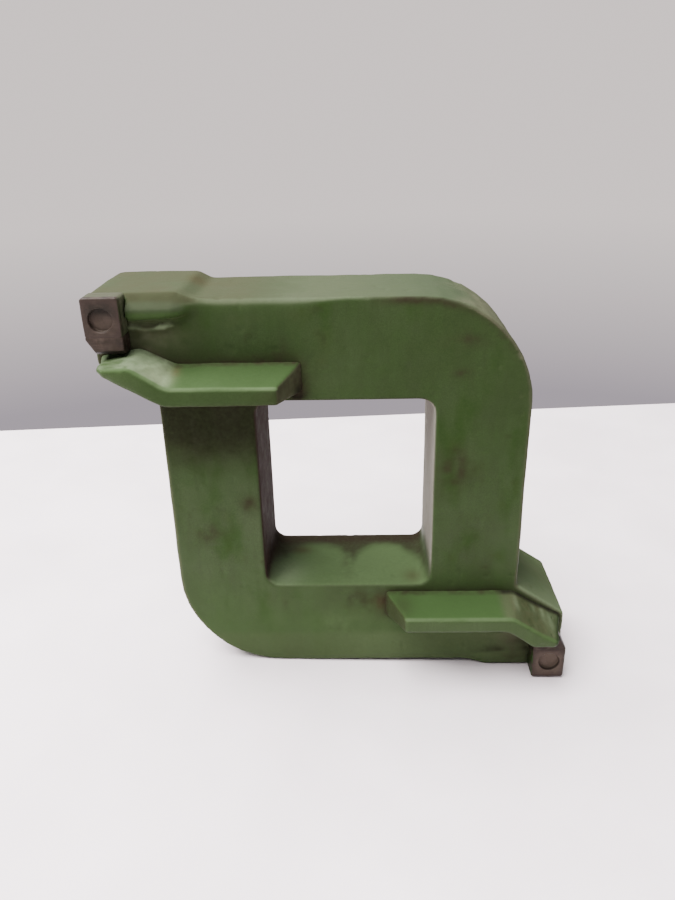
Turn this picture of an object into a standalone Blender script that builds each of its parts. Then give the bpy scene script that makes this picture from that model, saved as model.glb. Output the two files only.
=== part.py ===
"""Resin-moulded direct-current magnet coil with two corner terminals.

The coil stands upright. +X runs along its width, +Y points to its back and +Z is up. The origin is the
middle of the lowest plane. Every solid is drawn round the middle of the core window and hung on an empty
that lifts it to its place. The second terminal corner is the first one turned half a turn about Y.
"""

import math

import bmesh
import bpy
from mathutils import Vector

MM = 0.001
GAP = 0.3 * MM  # left between solids that touch on the real coil

# Moulded body
HALF_WIDTH = 63.5 * MM
HALF_HEIGHT = 72.2 * MM
HALF_DEPTH = 18.9 * MM
BODY_CORNER = 38.0 * MM  # follows the winding round its outermost turn
FRONT_EDGE_ROUND = 1.0 * MM
REAR_EDGE_ROUND = 1.2 * MM
EDGE_STEPS = 3

# Core window
WINDOW_HALF_WIDTH = 30.5 * MM
WINDOW_HALF_HEIGHT = 36.8 * MM
WINDOW_CORNER = 5.0 * MM
WINDOW_EDGE_ROUND = 1.0 * MM

# Terminal corner of the body, at -X and +Z
BOSS_END = 82.3 * MM
BOSS_TOP = 74.8 * MM
BOSS_UNDERSIDE = 50.7 * MM
BOSS_ROOT = 37.9 * MM
RAMP_LOW = 47.6 * MM
RAMP_HIGH = 52.5 * MM
RAMP_RADIUS = 4.0 * MM
BOSS_CORNER = 1.6 * MM

# Build-up from front to back
FRONT_LAYER = 4.0 * MM
LEAD_SPACE = 4.0 * MM
FLANGE = 1.2 * MM
REAR_WALL = 4.3 * MM

# Build-up outwards from the window wall
TUBE_WALL = 1.6 * MM
INNER_BUILD = 12.0 * MM
INTERLAYER = 0.6 * MM
OUTER_BUILD = 12.2 * MM
GROUND_WRAP = 1.0 * MM

# Raised pad and bead beside each terminal block
PAD_HEIGHT = 3.7 * MM
PAD_LIP = 1.2 * MM  # how far below the boss top the pad starts
PAD_CHAMFER = 4.2 * MM
PAD_DEPTH = 8.2 * MM
PAD_END = 47.0 * MM
BEAD_TOP = 64.4 * MM
BEAD_SIZE = 3.4 * MM
BEAD_SLOPE = 0.85 * MM
BEAD_HEIGHT = 2.0 * MM
BEAD_END = 54.0 * MM
PAD_ROOT = 1.5 * MM  # how far pad and bead reach into the layer they grow from

# Terminal block
BLOCK_INNER = 69.9 * MM
BLOCK_OUTER = 82.1 * MM
BLOCK_BOTTOM = 61.7 * MM
BLOCK_TOP = BOSS_TOP
BLOCK_FRONT = 26.2 * MM
BLOCK_EDGE = 0.5 * MM
SHANK = 8.0 * MM
SHANK_LENGTH = 7.4 * MM
HOLE_RADIUS = 3.8 * MM
HOLE_DEPTH = 1.6 * MM
HOLE_X = 76.3 * MM
HOLE_Z = 67.6 * MM
HOLE_SIDES = 32

# Terminal strap, ferrule and leads
STRAP_INNER = BLOCK_INNER
STRAP_OUTER = BLOCK_OUTER
STRAP_THICKNESS = 2.0 * MM
STRAP_NOSE = BLOCK_FRONT
STRAP_BEVEL = 1.2 * MM
STRAP_SHOULDER = 60.9 * MM
STRAP_CORNER = 2.6 * MM
TAIL_OUTER = 79.0 * MM
TAIL_REACH = 11.5 * MM
TAB_END = 62.5 * MM
TAB_HEIGHT = 2.2 * MM
TAB_THICKNESS = 1.2 * MM
LEAD_HEIGHT = 57.4 * MM
CHANNEL_END = 43.0 * MM
LEAD_RADIUS = 1.2 * MM
SLEEVE_RADIUS = 1.9 * MM
FERRULE_RADIUS = 2.0 * MM
FERRULE_BORE = 1.5 * MM
FERRULE_SIDES = 16
FERRULE_START = 66.5 * MM
FERRULE_END = 56.5 * MM
LEAD_START = 61.5 * MM
LEAD_BEND = 4.5 * MM
BEND_STEPS = 5
START_TURN = (-22.0 * MM, 46.0 * MM)
START_SWERVE = 33.0 * MM
FINISH_TURN = (-38.0 * MM, LEAD_HEIGHT)
LEAD_SIDES = 12

# Barrier rib: (x, z, corner radius) round its root and round its front edge, at -X and +Z
BARRIER_FRONT = 35.0 * MM
BARRIER_EDGE = 0.8 * MM
BARRIER_ROOT_OUTLINE = (
    (14.6, 40.4, 1.0),
    (60.0, 40.4, 5.0),
    (80.0, 50.8, 0.8),
    (80.0, 53.7, 0.8),
    (67.0, 55.9, 4.0),
    (55.7, 50.4, 6.0),
    (14.6, 50.4, 1.0),
)
BARRIER_FRONT_OUTLINE = (
    (20.3, 41.1, 1.0),
    (57.5, 41.1, 5.0),
    (76.6, 51.6, 1.0),
    (76.6, 54.4, 1.0),
    (67.0, 54.6, 4.0),
    (56.0, 47.6, 6.0),
    (20.3, 47.6, 1.0),
)
TONGUE_START = 24.0 * MM
TONGUE_END = 54.0 * MM
TONGUE_BOTTOM = 43.4 * MM
TONGUE_TOP = 47.4 * MM
TONGUE_DEPTH = 2.0 * MM
TONGUE_CORNER = 0.6 * MM

# Depth planes worked out from the build-up
FRONT_FACE = -HALF_DEPTH
FRONT_LAYER_BACK = FRONT_FACE + FRONT_LAYER
RIM = FRONT_LAYER_BACK + GAP
CUT_FRONT = RIM - GAP * 2  # where the cuts into the shell start, clear of its open rim
SPACER_BACK = RIM + LEAD_SPACE
FRONT_FLANGE = SPACER_BACK + GAP
WINDING_FRONT = FRONT_FLANGE + FLANGE + GAP
REAR_WALL_FRONT = HALF_DEPTH - REAR_WALL
REAR_FLANGE = REAR_WALL_FRONT - GAP - FLANGE
WINDING_BACK = REAR_FLANGE - GAP
LEAD_PLANE = (RIM + SPACER_BACK) / 2
BLOCK_BACK = FRONT_FACE - GAP

# Distances from the window wall
INNER_START = TUBE_WALL + GAP
INNER_END = INNER_START + INNER_BUILD
INTERLAYER_START = INNER_END + GAP
INTERLAYER_END = INTERLAYER_START + INTERLAYER
OUTER_START = INTERLAYER_END + GAP
OUTER_END = OUTER_START + OUTER_BUILD
WRAP_START = OUTER_END + GAP
WRAP_END = WRAP_START + GROUND_WRAP
POCKET = WRAP_END + GAP

# colour, roughness, metallic
MATERIALS = {
    "resin": ((0.068, 0.135, 0.040), 0.38, 0.0),
    "barrier_resin": ((0.080, 0.165, 0.050), 0.36, 0.0),
    "liner": ((0.105, 0.090, 0.065), 0.60, 0.0),
    "laminate": ((0.34, 0.22, 0.10), 0.65, 0.0),
    "pressboard": ((0.42, 0.33, 0.20), 0.80, 0.0),
    "paper": ((0.55, 0.47, 0.33), 0.85, 0.0),
    "tape": ((0.62, 0.58, 0.48), 0.90, 0.0),
    "copper": ((0.62, 0.26, 0.13), 0.35, 1.0),
    "sleeve": ((0.30, 0.03, 0.02), 0.55, 0.0),
    "tin": ((0.55, 0.55, 0.53), 0.35, 1.0),
    "terminal": ((0.095, 0.058, 0.045), 0.50, 0.8),
}

SMALL_ARC_STEPS = 3
WINDOW_ARC_STEPS = 8
BODY_ARC_STEPS = 12
LEAST_RADIUS = 0.1 * MM
SMOOTH_ANGLE = math.radians(35)
HALF_TURN = math.pi


def clear_scene():
    for thing in list(bpy.data.objects):
        bpy.data.objects.remove(thing, do_unlink=True)


def make_material(name):
    colour, roughness, metallic = MATERIALS[name]
    material = bpy.data.materials.new(name)
    material.use_nodes = True
    shader = material.node_tree.nodes["Principled BSDF"]
    shader.inputs["Base Color"].default_value = (*colour, 1.0)
    shader.inputs["Roughness"].default_value = roughness
    shader.inputs["Metallic"].default_value = metallic
    return material


# Outlines are lists of (x, z) in a plane across Y. Corners are (x, z, radius, arc steps), anticlockwise.


def rectangle(half_width, half_height, radius, centre=(0.0, 0.0), steps=SMALL_ARC_STEPS):
    x, z = centre
    return [
        (x + half_width, z + half_height, radius, steps),
        (x - half_width, z + half_height, radius, steps),
        (x - half_width, z - half_height, radius, steps),
        (x + half_width, z - half_height, radius, steps),
    ]


def window_corners(distance=0.0):
    """The window's outline, or the one that lies a distance outside it."""
    width = WINDOW_HALF_WIDTH + distance
    height = WINDOW_HALF_HEIGHT + distance
    return rectangle(width, height, WINDOW_CORNER + distance, steps=WINDOW_ARC_STEPS)


def body_corners():
    """Round where the winding turns, square and stretched where the terminals are."""
    half = [
        (HALF_WIDTH, HALF_HEIGHT, BODY_CORNER, BODY_ARC_STEPS),
        (-RAMP_LOW, HALF_HEIGHT, RAMP_RADIUS, SMALL_ARC_STEPS),
        (-RAMP_HIGH, BOSS_TOP, RAMP_RADIUS, SMALL_ARC_STEPS),
        (-BOSS_END, BOSS_TOP, BOSS_CORNER, SMALL_ARC_STEPS),
        (-BOSS_END, BOSS_UNDERSIDE, BOSS_CORNER, SMALL_ARC_STEPS),
        (-HALF_WIDTH, BOSS_ROOT, BOSS_CORNER, SMALL_ARC_STEPS),
    ]
    return half + [(-x, -z, radius, steps) for x, z, radius, steps in half]


def barrier_corners(outline):
    """A barrier outline given for +X, mirrored to -X and turned anticlockwise."""
    return [(-x * MM, z * MM, radius * MM, SMALL_ARC_STEPS) for x, z, radius in reversed(outline)]


def inset(corners, distance):
    """The outline that lies a distance inside: each side moves in and each rounding keeps its centre."""
    count = len(corners)
    moved = []
    for i, (x, z, radius, steps) in enumerate(corners):
        here = Vector((x, z))
        into = (here - Vector(corners[i - 1][:2])).normalized()
        out = (Vector(corners[(i + 1) % count][:2]) - here).normalized()
        turn = into.x * out.y - into.y * out.x
        left_in = Vector((-into.y, into.x))
        left_out = Vector((-out.y, out.x))
        shift = (left_in + left_out) * distance / (1 + left_in.dot(left_out))
        kept = radius - distance if turn > 0 else radius + distance
        moved.append((x + shift.x, z + shift.y, max(kept, LEAST_RADIUS), steps))
    return moved


def rounded(corners):
    """The outline's points, with each corner drawn as an arc."""
    count = len(corners)
    points = []
    for i, (x, z, radius, steps) in enumerate(corners):
        here = Vector((x, z))
        into = (here - Vector(corners[i - 1][:2])).normalized()
        out = (Vector(corners[(i + 1) % count][:2]) - here).normalized()
        turn = math.atan2(into.x * out.y - into.y * out.x, into.dot(out))
        reach = radius * math.tan(abs(turn) / 2)
        side = math.copysign(1.0, turn)
        start = here - into * reach
        centre = start + Vector((-into.y, into.x)) * side * radius
        arm = start - centre
        for k in range(steps + 1):
            angle = turn * k / steps
            cosine, sine = math.cos(angle), math.sin(angle)
            points.append(
                (
                    centre.x + arm.x * cosine - arm.y * sine,
                    centre.y + arm.x * sine + arm.y * cosine,
                )
            )
    return points


def circle(radius, centre=(0.0, 0.0), sides=HOLE_SIDES):
    return [
        (
            centre[0] + radius * math.cos(math.tau * k / sides),
            centre[1] + radius * math.sin(math.tau * k / sides),
        )
        for k in range(sides)
    ]


# Building solids


def mesh_object(name, mesh_data, parent, turned=False):
    thing = bpy.data.objects.new(name, mesh_data)
    bpy.context.scene.collection.objects.link(thing)
    thing.parent = parent
    if turned:
        thing.rotation_euler = (0.0, HALF_TURN, 0.0)
    return thing


def finish_mesh(solid, name):
    bmesh.ops.recalc_face_normals(solid, faces=solid.faces)
    mesh_data = bpy.data.meshes.new(name)
    solid.to_mesh(mesh_data)
    solid.free()
    mesh_data.shade_smooth()
    mesh_data.set_sharp_from_angle(angle=SMOOTH_ANGLE)
    return mesh_data


def stack(name, loops, ring=False):
    """A solid skinned over loops of (outline points, y).

    Two neighbouring loops at one depth bound a flat face with a hole. A ring joins its last loop to its
    first one, and any other stack is closed by a flat cap at each end.
    """
    solid = bmesh.new()
    rows = []
    for points, depth in loops:
        row = [solid.verts.new((x, depth, z)) for x, z in points]
        for a, b in zip(row, row[1:] + row[:1]):
            solid.edges.new((a, b))
        rows.append(row)
    pairs = list(zip(range(len(rows)), range(1, len(rows))))
    if ring:
        pairs.append((len(rows) - 1, 0))
    for i, j in pairs:
        join_rows(solid, rows[i], rows[j], flat=loops[i][1] == loops[j][1])
    if not ring:
        for row in (rows[0], rows[-1]):
            solid.faces.new(row)
    return finish_mesh(solid, name)


def join_rows(solid, row, other, flat):
    if flat:
        edges = [solid.edges.get((a, b)) for r in (row, other) for a, b in zip(r, r[1:] + r[:1])]
        bmesh.ops.triangle_fill(solid, use_beauty=True, use_dissolve=False, edges=edges)
        return
    count = len(row)
    for k in range(count):
        following = (k + 1) % count
        solid.faces.new((row[k], row[following], other[following], other[k]))


def sweep_x(name, profile, start, end):
    """A straight bar along X whose cross-section is a list of (y, z)."""
    solid = bmesh.new()
    rows = [[solid.verts.new((x, y, z)) for y, z in profile] for x in (start, end)]
    join_rows(solid, *rows, flat=False)
    for row in rows:
        solid.faces.new(row)
    return finish_mesh(solid, name)


def box(name, low, high):
    profile = [(low[1], low[2]), (high[1], low[2]), (high[1], high[2]), (low[1], high[2])]
    return sweep_x(name, profile, low[0], high[0])


def bent_path(points, radius, steps=BEND_STEPS):
    """The straight run through the points with each bend rounded."""
    path = [points[0]]
    for before, here, after in zip(points, points[1:], points[2:]):
        into = (here - before).normalized()
        out = (after - here).normalized()
        reach = radius * math.tan(into.angle(out) / 2)
        start = here - into * reach
        end = here + out * reach
        for k in range(steps + 1):
            t = k / steps
            path.append(start * (1 - t) ** 2 + here * 2 * t * (1 - t) + end * t**2)
    path.append(points[-1])
    return path


def pipe(name, path, radius, bore=0.0, sides=LEAD_SIDES, phase=0.0):
    """A round bar or tube along a path."""
    solid = bmesh.new()
    across = (path[1] - path[0]).normalized().orthogonal().normalized()
    skins = [[] for _ in ((radius, bore) if bore else (radius,))]
    for i, point in enumerate(path):
        ahead = path[min(i + 1, len(path) - 1)] - point
        behind = point - path[max(i - 1, 0)]
        along = (ahead.normalized() + behind.normalized()).normalized()
        across = (across - along * across.dot(along)).normalized()
        up = along.cross(across)
        for skin, size in zip(skins, (radius, bore)):
            row = []
            for k in range(sides):
                angle = math.tau * k / sides + phase
                row.append(solid.verts.new(point + (across * math.cos(angle) + up * math.sin(angle)) * size))
            skin.append(row)
    for skin in skins:
        for row, other in zip(skin, skin[1:]):
            join_rows(solid, row, other, flat=False)
    for end in (0, -1):
        if bore:
            join_rows(solid, skins[0][end], skins[1][end], flat=False)
        else:
            solid.faces.new(skins[0][end])
    return finish_mesh(solid, name)


def combine(target, operation, tool):
    """Joins a hidden tool to a solid, or cuts it away, with an exact Boolean."""
    tool.hide_render = True
    tool.display_type = "WIRE"
    modifier = target.modifiers.new(operation.lower(), "BOOLEAN")
    modifier.operation = operation
    modifier.solver = "EXACT"
    modifier.object = tool


def edge_loops(corners, end, radius, direction):
    """Loops round a rounded edge: from the straight side to the face at depth end, towards direction."""
    loops = []
    for k in range(EDGE_STEPS + 1):
        angle = math.pi / 2 * k / EDGE_STEPS
        depth = end - direction * radius * (1 - math.sin(angle))
        loops.append((rounded(inset(corners, radius * (1 - math.cos(angle)))), depth))
    return loops


class Coil:
    """Collects the sub-parts on one empty."""

    def __init__(self):
        self.base = bpy.data.objects.new("coil_centre", None)
        bpy.context.scene.collection.objects.link(self.base)
        self.base.location = (0.0, (BARRIER_FRONT - HALF_DEPTH) / 2, BOSS_TOP)
        self.materials = {name: make_material(name) for name in MATERIALS}

    def add(self, name, mesh_data, material, turned=False):
        if not mesh_data.materials:
            mesh_data.materials.append(self.materials[material])
        return mesh_object(name, mesh_data, self.base, turned)

    def tool(self, target, operation, mesh_data, turned=False):
        tool = mesh_object(f"tool_{len(bpy.data.objects)}", mesh_data, self.base, turned)
        combine(target, operation, tool)

    def both(self, target, operation, mesh_data):
        """The same tool at both terminal corners."""
        for turned in (False, True):
            self.tool(target, operation, mesh_data, turned)


# Sub-parts


def ring_plate(name, front, back, inside, outside):
    """A flat ring round the window, between two distances from the window wall."""
    inner = rounded(window_corners(inside))
    outer = rounded(window_corners(outside))
    loops = [(outer, front), (outer, back), (inner, back), (inner, front)]
    return stack(name, loops, ring=True)


def shank_box(margin, front, back):
    x = (BLOCK_INNER + BLOCK_OUTER) / 2
    z = (BLOCK_BOTTOM + BLOCK_TOP) / 2
    half = SHANK / 2 + margin
    return box("shank_pocket", (-x - half, front, z - half), (-x + half, back, z + half))


def tail_box(margin, front, back):
    half = STRAP_THICKNESS / 2 + margin
    low = (-TAIL_OUTER - margin, front, LEAD_HEIGHT - half)
    high = (-STRAP_INNER + margin, back, LEAD_HEIGHT + half)
    return box("tail_slot", low, high)


def add_case_shell(coil):
    """The moulded tray: an outer wall, a rear wall round the window and two solid terminal corners."""
    body = body_corners()
    outside = [(rounded(body), RIM), *edge_loops(body, HALF_DEPTH, REAR_EDGE_ROUND, 1)]
    window = window_edge(REAR_WALL_FRONT, HALF_DEPTH, 1)
    pocket = rounded(window_corners(POCKET))
    loops = outside + window + [(pocket, REAR_WALL_FRONT), (pocket, RIM)]
    shell = coil.add("case_shell", stack("case_shell", loops, ring=True), "resin")
    reach = SLEEVE_RADIUS + 2 * GAP
    channel = box(
        "lead_channel",
        (-TAIL_OUTER - GAP, CUT_FRONT, LEAD_HEIGHT - reach),
        (-CHANNEL_END, SPACER_BACK + GAP, LEAD_HEIGHT + reach),
    )
    coil.both(shell, "DIFFERENCE", channel)
    coil.both(shell, "DIFFERENCE", shank_box(GAP, CUT_FRONT, BLOCK_BACK + SHANK_LENGTH + GAP))


def window_edge(inside, face, direction):
    """Loops from a face, round the window's edge and along the window wall to a depth inside."""
    loops = []
    for k in range(EDGE_STEPS + 1):
        angle = math.pi / 2 * k / EDGE_STEPS
        widening = WINDOW_EDGE_ROUND * (1 - math.sin(angle))
        depth = face - direction * WINDOW_EDGE_ROUND * (1 - math.cos(angle))
        loops.append((rounded(window_corners(widening)), depth))
    return [*loops, (rounded(window_corners()), inside)]


def add_front_fill(coil):
    """The poured front layer, with a raised pad and a bead of resin beside each terminal block."""
    body = body_corners()
    outside = [(rounded(body), FRONT_LAYER_BACK), *edge_loops(body, FRONT_FACE, FRONT_EDGE_ROUND, -1)]
    window = window_edge(FRONT_LAYER_BACK, FRONT_FACE, -1)
    layer = coil.add("front_fill", stack("front_fill", outside + window, ring=True), "resin")
    start = -BLOCK_INNER + GAP
    root = FRONT_FACE + PAD_ROOT
    pad = [
        (root, BOSS_TOP - FRONT_EDGE_ROUND),
        (FRONT_FACE - GAP, BOSS_TOP - PAD_LIP),
        (FRONT_FACE - PAD_HEIGHT, BOSS_TOP - PAD_CHAMFER),
        (FRONT_FACE - PAD_HEIGHT, BOSS_TOP - PAD_DEPTH),
        (root, BOSS_TOP - PAD_DEPTH - PAD_HEIGHT / 2),
    ]
    bead = [
        (root, BEAD_TOP + BEAD_SLOPE),
        (FRONT_FACE - BEAD_HEIGHT, BEAD_TOP - BEAD_SLOPE),
        (FRONT_FACE - BEAD_HEIGHT, BEAD_TOP - BEAD_SIZE),
        (root, BEAD_TOP - BEAD_SIZE * 2),
    ]
    coil.both(layer, "UNION", sweep_x("terminal_pad", pad, start, -PAD_END))
    coil.both(layer, "UNION", sweep_x("terminal_bead", bead, start, -BEAD_END))
    past = FRONT_LAYER
    coil.both(layer, "DIFFERENCE", shank_box(GAP, FRONT_FACE - past, RIM))
    coil.both(layer, "DIFFERENCE", tail_box(GAP, FRONT_FACE - past, RIM))
    groove = box(
        "barrier_groove",
        (-TONGUE_END - GAP, FRONT_FACE - past, TONGUE_BOTTOM - GAP),
        (-TONGUE_START + GAP, FRONT_FACE + TONGUE_DEPTH, TONGUE_TOP + GAP),
    )
    coil.both(layer, "DIFFERENCE", groove)


def add_winding(coil):
    """Window tube, flanges, the two winding halves and their insulation."""
    tube = ring_plate("core_tube", RIM, REAR_WALL_FRONT - GAP, 0.0, TUBE_WALL)
    coil.add("core_tube", tube, "liner")
    layers = (
        ("winding_inner", "copper", INNER_START, INNER_END),
        ("interlayer_wrap", "paper", INTERLAYER_START, INTERLAYER_END),
        ("winding_outer", "copper", OUTER_START, OUTER_END),
        ("ground_wrap", "tape", WRAP_START, WRAP_END),
    )
    for name, material, inside, outside in layers:
        coil.add(name, ring_plate(name, WINDING_FRONT, WINDING_BACK, inside, outside), material)
    front = ring_plate("front_flange", FRONT_FLANGE, FRONT_FLANGE + FLANGE, INNER_START, WRAP_END)
    rear = ring_plate("rear_flange", REAR_FLANGE, REAR_FLANGE + FLANGE, INNER_START, WRAP_END)
    front_flange = coil.add("front_flange", front, "laminate")
    coil.add("rear_flange", rear, "laminate")
    for centre, turned in ((START_TURN, False), (FINISH_TURN, True)):
        bore = circle(LEAD_RADIUS + GAP, centre, LEAD_SIDES)
        drill = stack("lead_hole", [(bore, FRONT_FLANGE - FLANGE), (bore, WINDING_FRONT)])
        coil.tool(front_flange, "DIFFERENCE", drill, turned)


def lead_route(points):
    """From the ferrule along the lead plane through (x, z) points, then back through the flange."""
    flat = [Vector((x, LEAD_PLANE, z)) for x, z in points]
    x, z = points[-1]
    return flat, flat + [Vector((x, WINDING_FRONT - GAP, z))]


def add_leads(coil):
    """The spacer board with its slots, and the lead, sleeve and ferrule of each end of the winding."""
    board = ring_plate("lead_spacer", RIM, SPACER_BACK, INNER_START, WRAP_END)
    spacer = coil.add("lead_spacer", board, "pressboard")
    swerve = (-START_SWERVE, LEAD_HEIGHT)
    ends = (
        ("start", [(-LEAD_START, LEAD_HEIGHT), swerve, START_TURN], False),
        ("finish", [(-LEAD_START, LEAD_HEIGHT), FINISH_TURN], True),
    )
    for name, points, turned in ends:
        flat, whole = lead_route(points)
        route = bent_path(whole, LEAD_BEND / 2)
        coil.add(f"{name}_lead", pipe(f"{name}_lead", route, LEAD_RADIUS), "copper", turned)
        last = flat[-1] - (flat[-1] - flat[-2]).normalized() * LEAD_BEND
        first = flat[0] + (flat[1] - flat[0]).normalized() * (LEAD_START - FERRULE_END + GAP)
        covered = bent_path([first, *flat[1:-1], last], LEAD_BEND / 2)
        sleeve = pipe(f"{name}_lead_sleeve", covered, SLEEVE_RADIUS, LEAD_RADIUS + GAP)
        coil.add(f"{name}_lead_sleeve", sleeve, "sleeve", turned)
        beyond = flat[-1] + (flat[-1] - flat[-2]).normalized() * SLEEVE_RADIUS
        cut = bent_path([flat[0], *flat[1:-1], beyond], LEAD_BEND / 2)
        half_slot = SLEEVE_RADIUS + GAP
        slot = pipe("lead_slot", cut, half_slot * math.sqrt(2), sides=4, phase=math.pi / 4)
        coil.tool(spacer, "DIFFERENCE", slot, turned)
        ferrule_route = [Vector((-x, LEAD_PLANE, LEAD_HEIGHT)) for x in (FERRULE_START, FERRULE_END)]
        ferrule = pipe(f"{name}_ferrule", ferrule_route, FERRULE_RADIUS, FERRULE_BORE, sides=FERRULE_SIDES)
        coil.add(f"{name}_ferrule", ferrule, "tin", turned)


def terminal_block_mesh():
    """A block with a shallow round screw seat and a square shank that keys it into the resin."""
    x = (BLOCK_INNER + BLOCK_OUTER) / 2
    z = (BLOCK_BOTTOM + BLOCK_TOP) / 2
    half_width = (BLOCK_OUTER - BLOCK_INNER) / 2
    half_height = (BLOCK_TOP - BLOCK_BOTTOM) / 2
    face = rectangle(half_width, half_height, 2 * BLOCK_EDGE, (-x, z))
    shank = rounded(rectangle(SHANK / 2, SHANK / 2, BLOCK_EDGE, (-x, z)))
    hole = circle(HOLE_RADIUS, (-HOLE_X, HOLE_Z))
    front = -BLOCK_FRONT
    loops = [
        (hole, front + HOLE_DEPTH),
        (hole, front),
        (rounded(inset(face, BLOCK_EDGE)), front),
        (rounded(face), front + BLOCK_EDGE),
        (rounded(face), BLOCK_BACK),
        (shank, BLOCK_BACK),
        (shank, BLOCK_BACK + SHANK_LENGTH),
    ]
    return stack("terminal_block", loops)


def foot_outline(low):
    """The strap's foot from the front, with its outer lower corner cut off."""
    top = BLOCK_BOTTOM - GAP
    return [
        (-STRAP_INNER, top),
        (-STRAP_OUTER, top),
        (-STRAP_OUTER, STRAP_SHOULDER),
        (-STRAP_OUTER + STRAP_CORNER, low),
        (-STRAP_INNER, low),
    ]


def add_strap(coil, name, turned):
    """A thick foot under the block, and a tail that goes back into the resin to the ferrule."""
    low = LEAD_HEIGHT - STRAP_THICKNESS / 2
    foot = [
        (foot_outline(low + STRAP_BEVEL), -STRAP_NOSE),
        (foot_outline(low), -STRAP_NOSE + STRAP_BEVEL),
        (foot_outline(low), BLOCK_BACK),
    ]
    strap = coil.add(name, stack("terminal_strap", foot), "terminal", turned)
    coil.tool(strap, "UNION", tail_box(0.0, BLOCK_BACK - STRAP_THICKNESS / 2, -TAIL_REACH), turned)
    half_tab = TAB_THICKNESS / 2
    tab = box(
        "strap_tab",
        (-STRAP_INNER - STRAP_THICKNESS, LEAD_PLANE - half_tab, LEAD_HEIGHT - TAB_HEIGHT / 2),
        (-TAB_END, LEAD_PLANE + half_tab, LEAD_HEIGHT + TAB_HEIGHT / 2),
    )
    coil.tool(strap, "UNION", tab, turned)


def barrier_mesh():
    """A bent rib that thins towards its front edge, with a tongue that keys it into the front layer."""
    root = barrier_corners(BARRIER_ROOT_OUTLINE)
    front = barrier_corners(BARRIER_FRONT_OUTLINE)
    tongue_x = (TONGUE_START + TONGUE_END) / 2
    tongue_z = (TONGUE_BOTTOM + TONGUE_TOP) / 2
    half_length = (TONGUE_END - TONGUE_START) / 2
    half_width = (TONGUE_TOP - TONGUE_BOTTOM) / 2
    tongue = rounded(rectangle(half_length, half_width, TONGUE_CORNER, (-tongue_x, tongue_z)))
    loops = [
        (tongue, FRONT_FACE + TONGUE_DEPTH - GAP),
        (tongue, BLOCK_BACK),
        (rounded(root), BLOCK_BACK),
        *edge_loops(front, -BARRIER_FRONT, BARRIER_EDGE, -1),
    ]
    return stack("barrier", loops)


def add_terminals(coil):
    block = terminal_block_mesh()
    barrier = barrier_mesh()
    for place, turned in (("upper", False), ("lower", True)):
        coil.add(f"terminal_block_{place}", block, "terminal", turned)
        add_strap(coil, f"terminal_strap_{place}", turned)
        coil.add(f"barrier_{place}", barrier, "barrier_resin", turned)


def build():
    clear_scene()
    coil = Coil()
    add_case_shell(coil)
    add_front_fill(coil)
    add_winding(coil)
    add_leads(coil)
    add_terminals(coil)
    bpy.context.view_layer.update()


build()
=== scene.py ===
"""Looks of the resin-moulded magnet coil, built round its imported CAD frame.

Every shape is drawn in millimetres round the middle of the core window, with x to the right, y to the
back and z up, and place() moves it into the row frame. Both terminal corners are drawn at -x and +z. The
lower one is then turned half a turn about y, as on the CAD.
"""

import itertools
import math

import bmesh
import bpy
import numpy as np
from mathutils import Matrix, Vector


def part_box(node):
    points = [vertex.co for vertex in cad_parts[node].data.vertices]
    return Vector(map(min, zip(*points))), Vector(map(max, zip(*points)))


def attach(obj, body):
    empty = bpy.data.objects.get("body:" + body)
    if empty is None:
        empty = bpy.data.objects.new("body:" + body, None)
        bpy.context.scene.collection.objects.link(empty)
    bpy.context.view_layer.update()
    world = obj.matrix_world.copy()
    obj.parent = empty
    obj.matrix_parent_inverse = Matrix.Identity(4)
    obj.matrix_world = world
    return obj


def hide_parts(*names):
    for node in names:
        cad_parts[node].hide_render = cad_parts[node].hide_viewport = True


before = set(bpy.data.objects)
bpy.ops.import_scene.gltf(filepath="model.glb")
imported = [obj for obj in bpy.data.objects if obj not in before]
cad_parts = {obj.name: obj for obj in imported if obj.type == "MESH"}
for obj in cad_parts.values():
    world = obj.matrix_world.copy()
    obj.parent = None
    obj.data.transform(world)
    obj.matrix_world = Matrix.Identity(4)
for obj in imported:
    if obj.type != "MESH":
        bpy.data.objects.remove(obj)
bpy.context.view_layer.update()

MM = 0.001
HALF_TURN = Matrix.Rotation(math.pi, 4, "Y")

# Moulded body: half sizes of its outside and of the window, and their radii
HALF_WIDTH, HALF_HEIGHT, HALF_DEPTH = 63.5, 72.2, 18.9
FRONT = -HALF_DEPTH
BODY_CORNER, FRONT_ROUND, REAR_ROUND = 38.0, 1.0, 1.2
WINDOW_WIDTH, WINDOW_HEIGHT, WINDOW_CORNER, WINDOW_ROUND = 30.5, 36.8, 5.0, 1.0

# Terminal corner of the body, and the slope that leads up to it
BOSS_END, BOSS_TOP, BOSS_UNDERSIDE, BOSS_ROOT, BOSS_CORNER = 82.3, 74.8, 50.7, 37.9, 1.6
RAMP_LOW, RAMP_HIGH, RAMP_RADIUS = 47.6, 52.5, 4.0

# Where the front layer meets the shell, the rear end of the winding pocket, and how far outside the window
# the tube, the pocket and the skin's window lining end
JOINT, POCKET_BACK = -14.75, 14.45
TUBE_WALL, POCKET, LINING_REACH = 1.6, 28.9, 1.5

# Raised pad beside a block, from the block outwards: x, height over the front face and how far down from
# the boss's top its face reaches
PAD_SECTIONS = (
    (-69.7, 3.7, 8.2),
    (-62.0, 3.7, 8.0),
    (-54.0, 3.4, 7.4),
    (-49.0, 1.7, 6.2),
    (-44.5, -0.6, 5.0),
)
# How far down its other edges are, and how much the crest sags per millimetre that a section is lower
PAD_BACK_DROP, PAD_CREST_DROP, PAD_SLOPE_DROP, PAD_UNDERCUT, PAD_SAG = 1.4, 0.9, 4.7, 2.2, 0.6
# Its height, how far the crest stands out, how deep it is sunk and the lower pad's share of the height
PAD_HEIGHT, PAD_CREST, PAD_SUNK, LOWER_PAD_SHARE = 3.7, 0.4, 2.0, 0.4

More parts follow.
